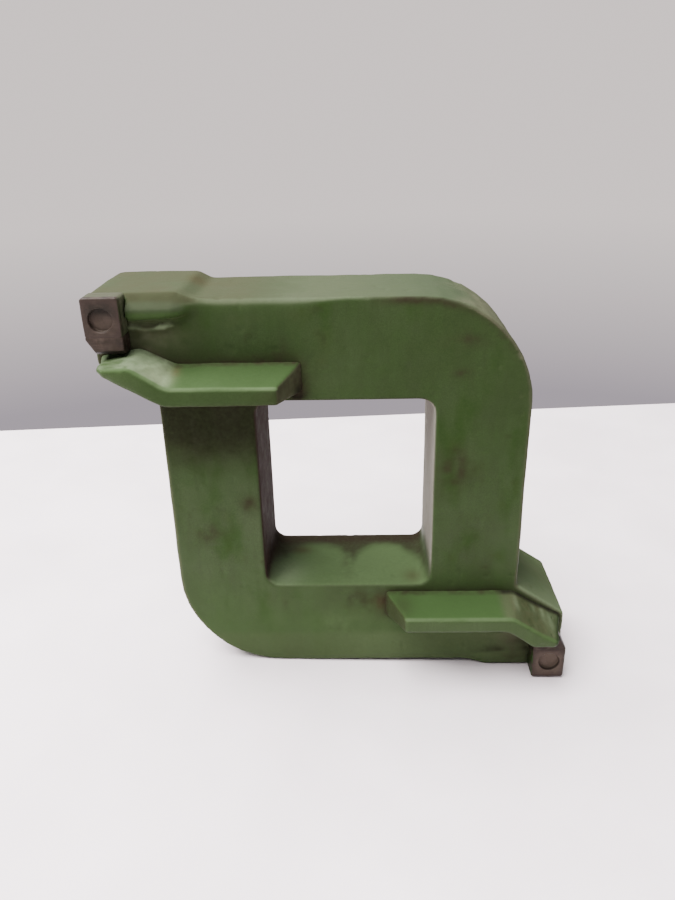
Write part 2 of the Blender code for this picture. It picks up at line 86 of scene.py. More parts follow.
# Ragged bead of resin under the upper pad: x, z and size of each lump
BEAD = (
    (-68.8, 63.6, 1.9),
    (-66.6, 63.2, 1.5),
    (-64.0, 62.6, 1.3),
    (-61.4, 62.9, 1.5),
    (-58.8, 63.5, 1.9),
    (-56.2, 64.1, 1.5),
)
BEAD_REACH, BEAD_FLATNESS = 2.3, 0.75
# Flat swellings under the lower barrier: centre and radii
LOW_LUMPS = (((55.0, FRONT, -69.4), (7.0, 1.1, 2.4)), ((64.0, FRONT, -65.5), (5.0, 1.0, 3.0)))

# Barrier rib outlines where it leaves the body and at its front, given for +x: (x, z, corner radius)
BARRIER_ROOT = (
    (14.6, 40.4, 1.0),
    (60.0, 40.4, 5.0),
    (80.0, 50.8, 0.8),
    (80.0, 53.7, 0.8),
    (67.0, 55.9, 4.0),
    (55.7, 50.4, 6.0),
    (14.6, 50.4, 1.0),
)
BARRIER_EDGE = (
    (20.3, 41.1, 1.0),
    (57.5, 41.1, 5.0),
    (76.6, 51.6, 1.0),
    (76.6, 54.4, 1.0),
    (67.0, 54.6, 4.0),
    (56.0, 47.6, 6.0),
    (20.3, 47.6, 1.0),
)
# Its front, its roundings, and how far its root flares out and up
BARRIER_FRONT, BARRIER_ROUND, BARRIER_FLARE, BARRIER_FOOT = -35.0, 1.3, 0.7, 0.2
# The thick end of each barrier: centre and radii
BARRIER_LUMPS = {
    "upper": ((-76.0, -30.0, 53.0), (2.6, 4.2, 2.0)),
    "lower": ((-74.5, -30.5, 53.4), (3.4, 4.2, 2.6)),
}
# How much further out the lower one bends
LOWER_BEND_SHIFT = 1.8

# Terminal block and its round screw seat
BLOCK_INNER, BLOCK_OUTER, BLOCK_BOTTOM, BLOCK_TOP = 69.9, 82.1, 61.7, 74.8
BLOCK_FRONT, BLOCK_BACK, BLOCK_EDGE, BLOCK_CORNER = -26.2, -18.2, 0.55, 1.0
SEAT_X, SEAT_Z, SEAT_RADIUS, SEAT_DEPTH, SEAT_EDGE = 76.3, 67.6, 3.8, 1.6, 0.25

# Strap: the foot under the block, whose outer lower corner is cut off, and its tail into the resin
STRAP_INNER, STRAP_OUTER, STRAP_BOTTOM, STRAP_TOP = 69.9, 82.1, 56.4, 62.3
STRAP_BACK, STRAP_BEVEL, STRAP_SHOULDER, STRAP_TAPER = -17.6, 1.2, 79.5, 1.87
TAIL_OUTER, TAIL_FRONT, TAIL_BACK, TAIL_THICK = 79.0, -18.5, -11.5, 2.0

# Fineness: voxels and spacing in millimetres, and numbers of steps, sides, rows and pieces
BODY_VOXEL, BARRIER_VOXEL, STRAP_VOXEL = 0.7, 0.42, 0.3
ARC_STEPS, BLOCK_ARC_STEPS, EDGE_STEPS = 10, 4, 5
SEAT_SIDES, BLOCK_ROWS, BLOCK_PIECES, STRAP_STEPS, STRAP_SPACING = 64, 12, 8, 14, 0.8
SMOOTH_ANGLE = math.radians(40)

# Studio, in metres. The table's far edge shifts by its skew times x. Tones are stops of (position, colour).
TABLE_NEAR, TABLE_FAR, TABLE_SIDE, TABLE_SKEW = -1.6, 0.2532, 2.2, 0.159
TABLE_TONES = ((0.35, (0.84, 0.750, 0.780)), (0.65, (0.92, 0.830, 0.860)))
ROOM_TONES = ((0.25, (0.22, 0.22, 0.23)), (0.75, (0.80, 0.77, 0.78)))
WALL_TONES = ((0.335, (0.45, 0.40, 0.45)), (0.44, (1.04, 0.94, 0.92)))
LAMP_PLACE, LAMP_TARGET, LAMP_SIZE = (-0.45, -0.08, 1.1), (0.0, 0.0, 0.05), (1.5, 1.0)
LAMP_ENERGY, LAMP_COLOUR = 93.0, (1.0, 0.985, 0.985)
# Camera: place in millimetres from the coil's middle, angles, lens and sensor, and clipping in metres
CAMERA_PLACE = (4.89, -258.0, 125.67)
CAMERA_PITCH, CAMERA_YAW, CAMERA_ROLL = 0.420, -0.0318, 0.0253
CAMERA_LENS, CAMERA_SENSOR, CAMERA_NEAR = 30.184, 36.0, 0.01

# Where the coil's middle lies in the row frame
case_low, case_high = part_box("case_shell")
CENTRE = (case_low + case_high) / 2
CENTRE.y = case_high.y - HALF_DEPTH * MM


# Outlines: lists of (x, z), from corners of (x, z, radius)


def rectangle(half_width, half_height, radius, centre=(0.0, 0.0)):
    x, z = centre
    signs = ((1, 1), (-1, 1), (-1, -1), (1, -1))
    return [(x + a * half_width, z + b * half_height, radius) for a, b in signs]


def window_corners(distance=0.0):
    return rectangle(WINDOW_WIDTH + distance, WINDOW_HEIGHT + distance, WINDOW_CORNER + distance)


def body_corners():
    half = [
        (HALF_WIDTH, HALF_HEIGHT, BODY_CORNER),
        (-RAMP_LOW, HALF_HEIGHT, RAMP_RADIUS),
        (-RAMP_HIGH, BOSS_TOP, RAMP_RADIUS),
        (-BOSS_END, BOSS_TOP, BOSS_CORNER),
        (-BOSS_END, BOSS_UNDERSIDE, BOSS_CORNER),
        (-HALF_WIDTH, BOSS_ROOT, BOSS_CORNER),
    ]
    return half + [(-x, -z, radius) for x, z, radius in half]


def block_corners():
    centre = (-(BLOCK_INNER + BLOCK_OUTER) / 2, (BLOCK_BOTTOM + BLOCK_TOP) / 2)
    return rectangle((BLOCK_OUTER - BLOCK_INNER) / 2, (BLOCK_TOP - BLOCK_BOTTOM) / 2, BLOCK_CORNER, centre)


def mirrored(outline):
    """An outline given for +x, at -x and still anticlockwise."""
    return [(-x, z, radius) for x, z, radius in reversed(outline)]


def sides_at(corners, i):
    """A corner, the directions into and out of it, and the sine of the turn between them."""
    here = Vector(corners[i][:2])
    into = (here - Vector(corners[i - 1][:2])).normalized()
    out = (Vector(corners[(i + 1) % len(corners)][:2]) - here).normalized()
    return here, into, out, into.x * out.y - into.y * out.x


def inset(corners, distance):
    """The outline a distance inside, or outside if it is negative. Roundings keep their centres."""
    moved = []
    for i, (_, _, radius) in enumerate(corners):
        here, into, out, turn = sides_at(corners, i)
        left = Vector((-into.y, into.x)) + Vector((-out.y, out.x))
        here = here + left * distance / (1 + into.dot(out))
        kept = radius - distance if turn > 0 else radius + distance
        moved.append((here.x, here.y, max(kept, 0.1)))
    return moved


def rounded(corners, steps=ARC_STEPS):
    """The outline's points, with an arc at each corner."""
    points = []
    for i, (_, _, radius) in enumerate(corners):
        here, into, out, cross = sides_at(corners, i)
        turn = math.atan2(cross, into.dot(out))
        side = math.copysign(1.0, turn)
        start = here - into * radius * math.tan(abs(turn) / 2)
        centre = start + Vector((-into.y, into.x)) * side * radius
        arm = start - centre
        for k in range(steps + 1):
            point = centre + Matrix.Rotation(turn * k / steps, 2) @ arm
            points.append((point.x, point.y))
    return points


def divided(outline, pieces_of):
    """An outline with each side cut into as many pieces as pieces_of says for its length."""
    points = []
    for a, b in zip(outline, outline[1:] + outline[:1]):
        a, b = Vector(a), Vector(b)
        count = pieces_of((b - a).length)
        points += [tuple(a.lerp(b, k / count)) for k in range(count)]
    return points


# Solids


def new_object(name, data):
    thing = bpy.data.objects.new(name, data)
    bpy.context.scene.collection.objects.link(thing)
    return thing


def new_mesh(solid, name="part"):
    bmesh.ops.recalc_face_normals(solid, faces=solid.faces)
    mesh = bpy.data.meshes.new(name)
    solid.to_mesh(mesh)
    solid.free()
    return mesh


def add_row(solid, points):
    row = [solid.verts.new(p) for p in points]
    for pair in zip(row, row[1:] + row[:1]):
        solid.edges.new(pair)
    return row


def wall(solid, row, other):
    for corners in zip(row, row[1:] + row[:1], other[1:] + other[:1], other):
        solid.faces.new(corners)


def plate(solid, *rows):
    """A flat face between two rows, or across one."""
    edges = [solid.edges.get(pair) for row in rows for pair in zip(row, row[1:] + row[:1])]
    bmesh.ops.triangle_fill(solid, use_beauty=True, use_dissolve=False, edges=edges)


def stack(loops, ring=False):
    """A solid skinned over loops of (outline, y). Two neighbours at one depth bound a flat face."""
    solid = bmesh.new()
    rows = [(add_row(solid, [(x, y, z) for x, z in points]), y) for points, y in loops]
    for (row, y), (other, end) in itertools.pairwise(rows + rows[:1] if ring else rows):
        if y == end:
            plate(solid, row, other)
        else:
            wall(solid, row, other)
    if not ring:
        plate(solid, rows[0][0])
        plate(solid, rows[-1][0])
    return new_mesh(solid)


def sweep(sections):
    """A bar skinned over (x, [(y, z), ...]) sections."""
    solid = bmesh.new()
    rows = [add_row(solid, [(x, y, z) for y, z in profile]) for x, profile in sections]
    for row, other in zip(rows, rows[1:]):
        wall(solid, row, other)
    plate(solid, rows[0])
    plate(solid, rows[-1])
    return new_mesh(solid)


def lump(centre, radii):
    """A ball squeezed to three radii."""
    solid = bmesh.new()
    matrix = Matrix.Translation(centre) @ Matrix.Diagonal((*radii, 1.0))
    bmesh.ops.create_icosphere(solid, subdivisions=3, radius=1.0, matrix=matrix)
    return new_mesh(solid)


def turned(mesh):
    """The mesh after half a turn about y, from the upper terminal corner to the lower."""
    mesh.transform(HALF_TURN)
    return mesh


def edge_loops(corners, end, radius, direction, steps=ARC_STEPS):
    """Loops round a rounded edge, from the straight side to the face at depth end.

    direction is the way the face looks along y. At a hole it and the radius have the opposite sign.
    """
    loops = []
    for k in range(EDGE_STEPS + 1):
        angle = math.pi / 2 * k / EDGE_STEPS
        depth = end - direction * radius * (1 - math.sin(angle))
        loops.append((rounded(inset(corners, radius * (1 - math.cos(angle))), steps), depth))
    return loops


def fused(meshes, voxel):
    """One closed skin of even quads round overlapping solids."""
    solid = bmesh.new()
    for mesh in meshes:
        solid.from_mesh(mesh)
    thing = new_object("fused", new_mesh(solid))
    remesh = thing.modifiers.new("skin", "REMESH")
    remesh.mode = "VOXEL"
    remesh.voxel_size = voxel
    graph = bpy.context.evaluated_depsgraph_get()
    mesh = bpy.data.meshes.new_from_object(thing.evaluated_get(graph))
    bpy.data.objects.remove(thing)
    return mesh


# Reading and moving the points of a mesh


def vectors(items, name):
    flat = np.empty(len(items) * 3, np.float32)
    items.foreach_get(name, flat)
    return flat.reshape(-1, 3).astype(float)


def points_of(mesh):
    return vectors(mesh.vertices, "co")


def normals_of(mesh):
    return vectors(mesh.vertex_normals, "vector")


def set_points(mesh, points):
    mesh.vertices.foreach_set("co", points.astype(np.float32).ravel())
    mesh.update()


def push(mesh, height):
    """Moves each point out of the surface by its own height."""
    set_points(mesh, points_of(mesh) + normals_of(mesh) * height[:, None])


def relax(mesh, weight, rounds):
    """Smooths a mesh, as much at each point as its weight says."""
    edges = np.empty(len(mesh.edges) * 2, np.int32)
    mesh.edges.foreach_get("vertices", edges)
    a, b = edges.reshape(-1, 2).T
    points = points_of(mesh)
    count = len(points)
    near = np.bincount(a, minlength=count) + np.bincount(b, minlength=count)
    step = np.broadcast_to(weight, count)[:, None]
    for _ in range(rounds):
        total = np.empty_like(points)
        for k in range(3):
            total[:, k] = np.bincount(a, points[b, k], count) + np.bincount(b, points[a, k], count)
        points += step * (total / near[:, None] - points)
    set_points(mesh, points)


# Numbers over a surface


def dice(cells, seed):
    """A repeatable number from 0 to 1 for each whole-number cell."""
    n = cells[..., 0] * 73856093 ^ cells[..., 1] * 19349663 ^ cells[..., 2] * 83492791 ^ seed * 2654435761
    n = (n ^ (n >> 13)) * 1274126177 & 0x7FFFFFFF
    n = (n ^ (n >> 15)) * 668265263 & 0x7FFFFFFF
    return (n >> 7 & 0xFFFF) / 0xFFFF


def blotches(points, size, seed, octaves=3, stretch=(1.0, 1.0, 1.0)):
    """Smooth noise, mostly from -1 to 1, with lumps of about size millimetres."""
    shift, gain = 37.7, 1.6
    total, share, whole = 0.0, 1.0, 0.0
    for octave in range(octaves):
        p = points / np.array(stretch) / size * 2**octave + shift
        cell = np.floor(p).astype(np.int64)
        f = p - cell
        f = f * f * (3 - 2 * f)
        value = 0.0
        for corner in itertools.product((0, 1), repeat=3):
            nearness = np.prod(np.where(corner, f, 1 - f), axis=1)
            value = value + nearness * dice(cell + np.array(corner), seed + octave)
        total = total + share * (2 * value - 1)
        whole += share
        share /= 2
    return total / whole * gain


def ramp(value, low, high):
    """0 below low, 1 above high and smooth between. With low above high it falls instead."""
    t = np.clip((value - low) / (high - low), 0, 1)
    return t * t * (3 - 2 * t)


def spot(points, centre, radii):
    """1 at the centre, falling off over the radii. An axis with a radius of 0 doesn't count."""
    away = 0.0
    for k, radius in enumerate(radii):
        if radius:
            away = away + ((points[:, k] - centre[k]) / radius) ** 2
    return np.exp(-away)


def distance_to(points, outline):
    """How far each point is, across x and z, from a closed outline."""
    flat = points[:, (0, 2)]
    least = np.full(len(points), np.inf)
    for a, b in zip(outline, outline[1:] + outline[:1]):
        a, b = np.array(a), np.array(b)
        along = b - a
        length = along @ along
        if length < 1e-9:
            continue
        t = np.clip((flat - a) @ along / length, 0, 1)
        least = np.minimum(least, ((flat - a - t[:, None] * along) ** 2).sum(1))
    return np.sqrt(least)


def distance_to_seat(points):
    """How far each point is, across x and z, from the middle of the screw seat."""
    return np.hypot(points[:, 0] + SEAT_X, points[:, 2] - SEAT_Z)


# Paint

# Colours of the stain and of the painted light and shade, linear
UMBER = (0.020, 0.015, 0.010)
RUST = (0.034, 0.017, 0.011)
OCHRE = (0.046, 0.038, 0.016)
OXIDE = (0.080, 0.060, 0.045)
PLUM = (0.027, 0.018, 0.015)
SHADOW = (0.006, 0.006, 0.004)
PALE_GREEN = (0.100, 0.130, 0.074)
HIGHLIGHT_GREEN = (0.155, 0.195, 0.110)
PALE = (0.165, 0.155, 0.130)
LIGHT_OLIVE = (0.072, 0.076, 0.046)
GREY_OLIVE = (0.041, 0.041, 0.023)
GREY_GREEN = (0.036, 0.047, 0.027)
OLIVE = (0.030, 0.034, 0.017)
MOSS = (0.015, 0.037, 0.006)
DEEP = (0.012, 0.024, 0.006)
GREEN = (0.026, 0.054, 0.015)
BRIGHT = (0.040, 0.068, 0.025)
LIGHT_GREEN = (0.052, 0.080, 0.034)


class Skin:
    """A mesh's points with the way they face, and the stain and painted light and shade on them: one colour
    and how much of it shows.

    fine and rough are noises that break the paint up. Each is given as its size, seed and octaves.
    """

    def __init__(self, mesh, fine, rough=None):
        self.mesh = mesh
        self.points = points_of(mesh)
        self.x, self.y, self.z = self.points.T
        self.nx, self.ny, self.nz = normals_of(mesh).T
        self.fine = blotches(self.points, *fine)
        self.rough = blotches(self.points, *rough) if rough else None
        self.colour = np.zeros((len(self.points), 3))
        self.amount = np.zeros(len(self.points))

    def spot(self, centre, radii):
        return spot(self.points, centre, radii)

    def over(self, colour, mask, strength=1.0, fine=0.0, rough=0.0):
        """Lays a colour over what is there. Its strength may vary with the fine and the rough noise."""
        for share, noise in ((fine, self.fine), (rough, self.rough)):
            if share:
                strength = strength + share * noise
        amount = np.clip(mask * strength, 0, 1)
        kept = self.amount * (1 - amount)
        total = kept + amount
        mixed = self.colour * kept[:, None] + np.array(colour) * amount[:, None]
        self.colour = np.where(total[:, None] > 0, mixed / np.maximum(total, 1e-9)[:, None], self.colour)
        self.amount = total

    def store(self):
        """Keeps the stain and the painted light and shade in the mesh, for the materials to read."""
        layer = self.mesh.attributes.new("stain_light_and_shade", "FLOAT_COLOR", "POINT")
        layer.data.foreach_set("color", np.c_[self.colour, self.amount].astype(np.float32).ravel())


# Materials


def greys(start, dark, end, light):
    """Ramp stops from one grey to another."""
    return (start, (dark, dark, dark)), (end, (light, light, light))


class Nodes:
    """Helpers for a tree of shader nodes."""

    def __init__(self, tree):
        self.tree = tree

    def fill(self, node, inputs):
        """Gives inputs of a node their values: outputs of other nodes, numbers, vectors or colours."""
        for key, value in inputs.items():
            if isinstance(value, bpy.types.NodeSocket):
                self.tree.links.new(value, node.inputs[key])
            else:
                node.inputs[key].default_value = value

    def add(self, kind, inputs, **settings):
        """A new node with its settings and its inputs."""
        node = self.tree.nodes.new(f"ShaderNode{kind}")
        for name, setting in settings.items():
            setattr(node, name, setting)
        self.fill(node, inputs)
        return node

    def between(self, value, low, high, start=0.3, end=0.7):
        """low where the value is at start, and high where it is at end."""
        limits = {"From Min": start, "From Max": end, "To Min": low, "To Max": high}
        return self.add("MapRange", {"Value": value, **limits}).outputs["Result"]

    def tones(self, value, stops):
        node = self.add("ValToRGB", {"Fac": value})
        elements = node.color_ramp.elements
        while len(elements) < len(stops):
            elements.new(0.5)
        for element, (position, colour) in zip(elements, stops):
            element.position = position
            element.color = (*colour, 1.0)
        return node.outputs["Color"]


class Surface(Nodes):
    """A Principled material. Its coordinates are the object's own, in metres."""

    def __init__(self, name):
        self.material = bpy.data.materials.new(name)
        self.material.use_nodes = True
        super().__init__(self.material.node_tree)
        self.shader = self.tree.nodes["Principled BSDF"]
        self.coordinates = self.add("TexCoord", {}).outputs["Object"]

    def noise(self, size, detail=4.0, stretch=(1.0, 1.0, 1.0)):
        """Noise with lumps of size millimetres, longer along the axes with a larger stretch."""
        scaled = self.add("Mapping", {"Vector": self.coordinates, "Scale": [1 / s for s in stretch]})
        inputs = {"Vector": scaled.outputs["Vector"], "Scale": 1 / (size * MM), "Detail": detail}
        return self.add("TexNoise", inputs).outputs["Fac"]

    def bands(self, size, axis):
        """Even ridges, size millimetres apart along an axis."""
        # a wave texture of scale 1 has a ridge every tau / 20
        inputs = {"Vector": self.coordinates, "Scale": math.tau / 20 / (size * MM), "Distortion": 0.4}
        return self.add("TexWave", inputs, wave_type="BANDS", bands_direction=axis).outputs["Fac"]

    def mix(self, amount, first, second, blend="MIX"):
        inputs = {"Factor": amount, 6: first, 7: second}
        return self.add("Mix", inputs, data_type="RGBA", blend_type=blend).outputs[2]

    def times_add(self, first, second, third=0.0):
        return self.add("Math", {0: first, 1: second, 2: third}, operation="MULTIPLY_ADD").outputs[0]

    def bump(self, layers):
        """Bumps on top of each other: (height, distance in millimetres)."""
        below = {}
        for height, distance in layers:
            node = self.add("Bump", {"Height": height, "Distance": distance * MM, **below})
            below = {"Normal": node.outputs["Normal"]}
        self.fill(self.shader, below)

    def stain_light_and_shade(self, colour, grain):
        """The mesh's stain and painted light and shade over a colour, broken up by grain, and how much of
        it shows.
        """
        node = self.add("Attribute", {}, attribute_name="stain_light_and_shade")
        amount = self.times_add(node.outputs["Alpha"], grain)
        shown = self.add("Clamp", {"Value": amount}).outputs["Result"]
        return self.mix(shown, colour, node.outputs["Color"]), shown

    def finish(self, colour, roughness, metallic=0.0, gloss=0.5):
        inputs = {"Base Color": colour, "Roughness": roughness, "Metallic": metallic}
        self.fill(self.shader, {**inputs, "Specular IOR Level": gloss})
        return self.material


# Specular level of clean resin and of old metal, and what a full layer of stain and painted light and shade
# takes from the resin's level and adds to its roughness
RESIN_GLOSS, METAL_GLOSS = 0.12, 0.12
RESIN_GLOSS_LOST, RESIN_DULLING = 0.10, 0.35


def resin_material(name, stops):
    """Cast resin: blotchy green with upright wipe marks, fine speckle, the painted stain, light and shade,
    and rubbed dull patches.
    """
    s = Surface(name)
    cloud = s.noise(17.0, 5.0, (1.0, 1.0, 1.5))
    wipe = s.noise(4.5, 3.0, (0.5, 0.5, 3.5))
    speck = s.noise(0.35, 2.0)
    darkest = (*stops[0][1], 1.0)
    wiped = s.mix(s.between(wipe, 0.0, 0.55, 0.45, 0.75), s.tones(cloud, stops), darkest)
    fine = s.mix(0.5, wiped, s.tones(speck, greys(0.3, 0.35, 0.7, 0.65)), "OVERLAY")
    colour, amount = s.stain_light_and_shade(fine, s.between(s.noise(1.3, 4.0), 0.88, 1.12))
    s.bump([(s.noise(2.2, 3.0), 0.05), (speck, 0.012)])
    dullness = s.times_add(amount, RESIN_DULLING, s.between(s.noise(6.0, 4.0), 0.40, 0.56))
    return s.finish(colour, dullness, gloss=s.times_add(amount, -RESIN_GLOSS_LOST, RESIN_GLOSS))


def metal_material(name, stops, metallic):
    """Old terminal metal: brown oxide with darker pits and brighter rubbed grain."""
    s = Surface(name)
    scratch = s.noise(0.5, 3.0, (6.0, 1.0, 1.0))
    oxide = s.tones(s.noise(3.2, 6.0), stops)
    fine = s.mix(0.45, oxide, s.tones(scratch, greys(0.35, 0.3, 0.7, 0.7)), "OVERLAY")
    colour, _ = s.stain_light_and_shade(fine, s.between(s.noise(0.9, 4.0), 0.8, 1.3))
    s.bump([(s.noise(1.4, 5.0), 0.08), (scratch, 0.02)])
    return s.finish(colour, s.between(s.noise(2.0, 4.0), 0.42, 0.66), metallic, METAL_GLOSS)


# Inner finishes: darker and lighter tone, size and stretch of the grain, range of roughness and depth of
# the grain. Some are metal, and some have ridges of a size along an axis.
INNER_FINISHES = {
    "laminate": ((0.24, 0.14, 0.055), (0.42, 0.28, 0.13), 0.5, (8, 1, 1), (0.5, 0.7), 0.03),
    "pressboard": ((0.34, 0.26, 0.15), (0.50, 0.41, 0.27), 0.3, (1, 1, 1), (0.75, 0.9), 0.04),
    "insulation_paper": ((0.46, 0.38, 0.26), (0.62, 0.54, 0.39), 0.4, (5, 1, 1), (0.8, 0.95), 0.02),
    "glass_tape": ((0.50, 0.45, 0.36), (0.70, 0.66, 0.56), 0.5, (1, 6, 1), (0.7, 0.95), 0.05),
    "winding_copper": ((0.40, 0.13, 0.06), (0.66, 0.28, 0.15), 0.4, (5, 1, 5), (0.25, 0.45), 0.02),
    "lead_sleeve": ((0.20, 0.016, 0.012), (0.36, 0.045, 0.03), 0.5, (4, 1, 1), (0.45, 0.7), 0.03),
    "tinned_copper": ((0.42, 0.42, 0.40), (0.62, 0.61, 0.59), 0.6, (1, 3, 1), (0.3, 0.5), 0.02),
}
INNER_METALS = ("winding_copper", "tinned_copper")
INNER_RIDGES = {"glass_tape": (19.0, "Y"), "winding_copper": (0.8, "Y"), "lead_sleeve": (0.7, "X")}
INNER_NODES = {
    "laminate": ("front_flange", "rear_flange"),
    "pressboard": ("lead_spacer",),
    "insulation_paper": ("interlayer_wrap",),
    "glass_tape": ("ground_wrap",),
    "winding_copper": ("winding_inner", "winding_outer", "start_lead", "finish_lead"),
    "lead_sleeve": ("start_lead_sleeve", "finish_lead_sleeve"),
    "tinned_copper": ("start_ferrule", "finish_ferrule"),
}


def inner_material(name):
    """Two tones in clouds, a grain of one size and direction, and ridges on some."""
    dark, light, size, stretch, roughness, depth = INNER_FINISHES[name]
    s = Surface(name)
    grain = s.noise(size, 5.0, stretch)
    cloud = s.tones(s.noise(9.0, 3.0), ((0.3, dark), (0.7, light)))
    colour = s.mix(0.6, cloud, s.tones(grain, greys(0.3, 0.3, 0.7, 0.7)), "OVERLAY")
    layers = [(grain, depth)]
    if name in INNER_RIDGES:
        ridge, axis = INNER_RIDGES[name]
        rows = s.bands(ridge, axis)
        colour = s.mix(0.7, colour, s.tones(rows, greys(0.0, 0.25, 0.6, 0.6)), "OVERLAY")
        layers.append((rows, ridge * 0.3))
    s.bump(layers)
    return s.finish(colour, s.between(grain, *roughness), 1.0 if name in INNER_METALS else 0.0)


RESIN = resin_material(
    "green_resin",
    ((0.30, (0.019, 0.031, 0.009)), (0.50, (0.021, 0.039, 0.010)), (0.72, (0.026, 0.042, 0.014))),
)
BARRIER_RESIN = resin_material(
    "barrier_resin",
    ((0.28, (0.021, 0.038, 0.010)), (0.50, (0.024, 0.044, 0.012)), (0.74, (0.030, 0.050, 0.017))),
)
TERMINAL = metal_material(
    "terminal_metal",
    ((0.30, (0.016, 0.011, 0.009)), (0.50, (0.030, 0.021, 0.016)), (0.72, (0.046, 0.034, 0.026))),
    0.1,
)


def finish_inner_nodes():
    """The nodes inside the moulding keep their CAD shapes and get their materials."""
    for name, nodes in INNER_NODES.items():
        material = inner_material(name)
        for node in nodes:
            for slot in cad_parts[node].material_slots:
                slot.link = "OBJECT"
                slot.material = material


def place(mesh, name, material, node):
    """Moves a mesh from the coil's millimetres into the row frame, in place of its CAD node."""
    mesh.transform(Matrix.Translation(CENTRE) @ Matrix.Scale(MM, 4))
    mesh.name = name
    mesh.materials.clear()
    mesh.materials.append(material)
    mesh.shade_smooth()
    mesh.set_sharp_from_angle(angle=SMOOTH_ANGLE)
    thing = new_object(name, mesh)
    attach(thing, "root")
    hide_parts(node)


# The moulding: shell, poured front layer and window tube are cut from one cast skin


def pad_mesh(share):
    """The raised pad beside a terminal block, with a share of its full height."""
    sections = []
    for x, height, drop in PAD_SECTIONS:
        profile = [
            (FRONT + PAD_SUNK, BOSS_TOP - PAD_BACK_DROP),
            (FRONT - PAD_CREST, BOSS_TOP - PAD_CREST_DROP - (PAD_HEIGHT - height) * PAD_SAG),
            (FRONT - height * share, BOSS_TOP - PAD_SLOPE_DROP),
            (FRONT - height * share, BOSS_TOP - drop),
            (FRONT + PAD_SUNK, BOSS_TOP - drop - PAD_UNDERCUT),
        ]
        sections.append((x, profile))
    return sweep(sections)


def moulding_mesh():
    body = body_corners()
    outside = edge_loops(body, FRONT, FRONT_ROUND, -1)[::-1] + edge_loops(body, HALF_DEPTH, REAR_ROUND, 1)
    rear = edge_loops(window_corners(), HALF_DEPTH, -WINDOW_ROUND, -1)[::-1]
    front = [(outline, -depth) for outline, depth in reversed(rear)]
    skin = stack(outside + rear + front, ring=True)
    pads = [pad_mesh(1.0), turned(pad_mesh(LOWER_PAD_SHARE))]
    bead = [lump((x, FRONT, z), (BEAD_REACH, size, size * BEAD_FLATNESS)) for x, z, size in BEAD]
    low_lumps = [lump(centre, radii) for centre, radii in LOW_LUMPS]
    return fused([skin, *pads, *bead, *low_lumps], BODY_VOXEL)


def shape_moulding(mesh):
    """Softens the cast edges unevenly and gives the faces their shallow waves and pits."""
    relax(mesh, 0.5, 3)
    x, y, z = points_of(mesh).T
    softer_top_edge = 0.85 * ramp(z, 66.0, 70.5) * ramp(y, -13.5, -17.0) * ramp(x, 2.0, -18.0)
    relax(mesh, softer_top_edge * ramp(x, -55.0, -48.0), 30)
    points = points_of(mesh)
    in_window = ramp(distance_to(points, rounded(window_corners())), 3.0, 1.0)
    waves = 0.20 * blotches(points, 24.0, 11) + 0.06 * blotches(points, 7.0, 12)
    waves += 0.018 * blotches(points, 2.0, 13) - 0.10
    pits = ramp(blotches(points, 3.4, 14, 2), 0.72, 0.95) * 0.16
    push(mesh, waves * (1 - 0.6 * in_window) - pits)


class MouldingSkin(Skin):
    """The cast skin, with its distance to the body's outline and masks of its front and window."""

    def __init__(self, mesh):
        super().__init__(mesh, fine=(2.5, 22, 3), rough=(9.0, 21, 4))
        self.front = ramp(-self.ny, 0.55, 0.85)
        self.rim = distance_to(self.points, rounded(body_corners()))
        window = distance_to(self.points, rounded(window_corners()))
        self.inside = ramp(window, 2.2, 1.2) * ramp(np.abs(self.ny), 0.9, 0.6)
        self.outside = 1 - self.inside


def paint_faces(skin):
    """Front and back: greener and browner wiped areas, with painted shade high up and painted light from
    the floor low down.
    """
    streak = blotches(skin.points, 7.0, 23, 3, (1.0, 1.0, 3.0))
    faces = ramp(np.abs(skin.ny), 0.6, 0.9)
    uneven_z = skin.z + 8 * skin.rough
    skin.over(MOSS, faces * ramp(streak + 0.4 * skin.rough, 0.1, 1.2), 0.5)
    skin.over(OCHRE, faces * ramp(skin.rough, 0.35, 1.1), 0.12)
    skin.over(UMBER, faces * ramp(skin.fine + skin.rough, 0.9, 1.7), 0.3)
    # Painted shade towards the top and painted floor-bounce light towards the bottom
    skin.over(DEEP, faces * ramp(uneven_z, -25.0, 35.0), 0.38)
    skin.over(BRIGHT, faces * ramp(uneven_z, -25.0, -60.0), 0.5)


def paint_dust_and_sheen(skin):
    """Dust and painted sheen on what faces up, browner over the boss and on the right shoulder, and a
    painted highlight along the left of the front top edge.
    """
    nz, uneven_x = skin.nz, skin.x + 5 * skin.rough
    facing_up = ramp(nz, 0.08, 0.85) * skin.outside
    # Dust and painted sheen of the overhead light on what faces up
    skin.over(GREY_GREEN, facing_up, 0.75, rough=0.14)
    skin.over(GREY_OLIVE, facing_up * ramp(uneven_x, -12.0, -36.0), 0.6, rough=0.2)
    skin.over(LIGHT_OLIVE, facing_up * ramp(uneven_x, -30.0, -12.0) * ramp(uneven_x, 46.0, -10.0), 0.3)
    skin.over(GREY_OLIVE, facing_up * ramp(uneven_x, 38.0, 56.0), 0.8)
    shoulder = ramp(uneven_x, 34.0, 48.0) * ramp(nz, 0.05, 0.3) * skin.outside * ramp(skin.z, 20.0, 40.0)
    skin.over(LIGHT_OLIVE, shoulder, 0.85, rough=0.2)
    foot_of_boss = facing_up * skin.spot((-51.0, 5.0, 0), (3.0, 6.0, 0))
    skin.over(OCHRE, foot_of_boss, 0.45)
    skin.over(UMBER, foot_of_boss, 0.25)
    # Painted highlight along the left part of the front top edge
    top_edge_highlight = ramp(nz, 0.25, 0.5) * ramp(-skin.ny, 0.2, 0.5) * ramp(skin.z, 60.0, 68.0)
    skin.over(PALE_GREEN, top_edge_highlight * ramp(skin.x, 13.0, 4.0), 0.22)


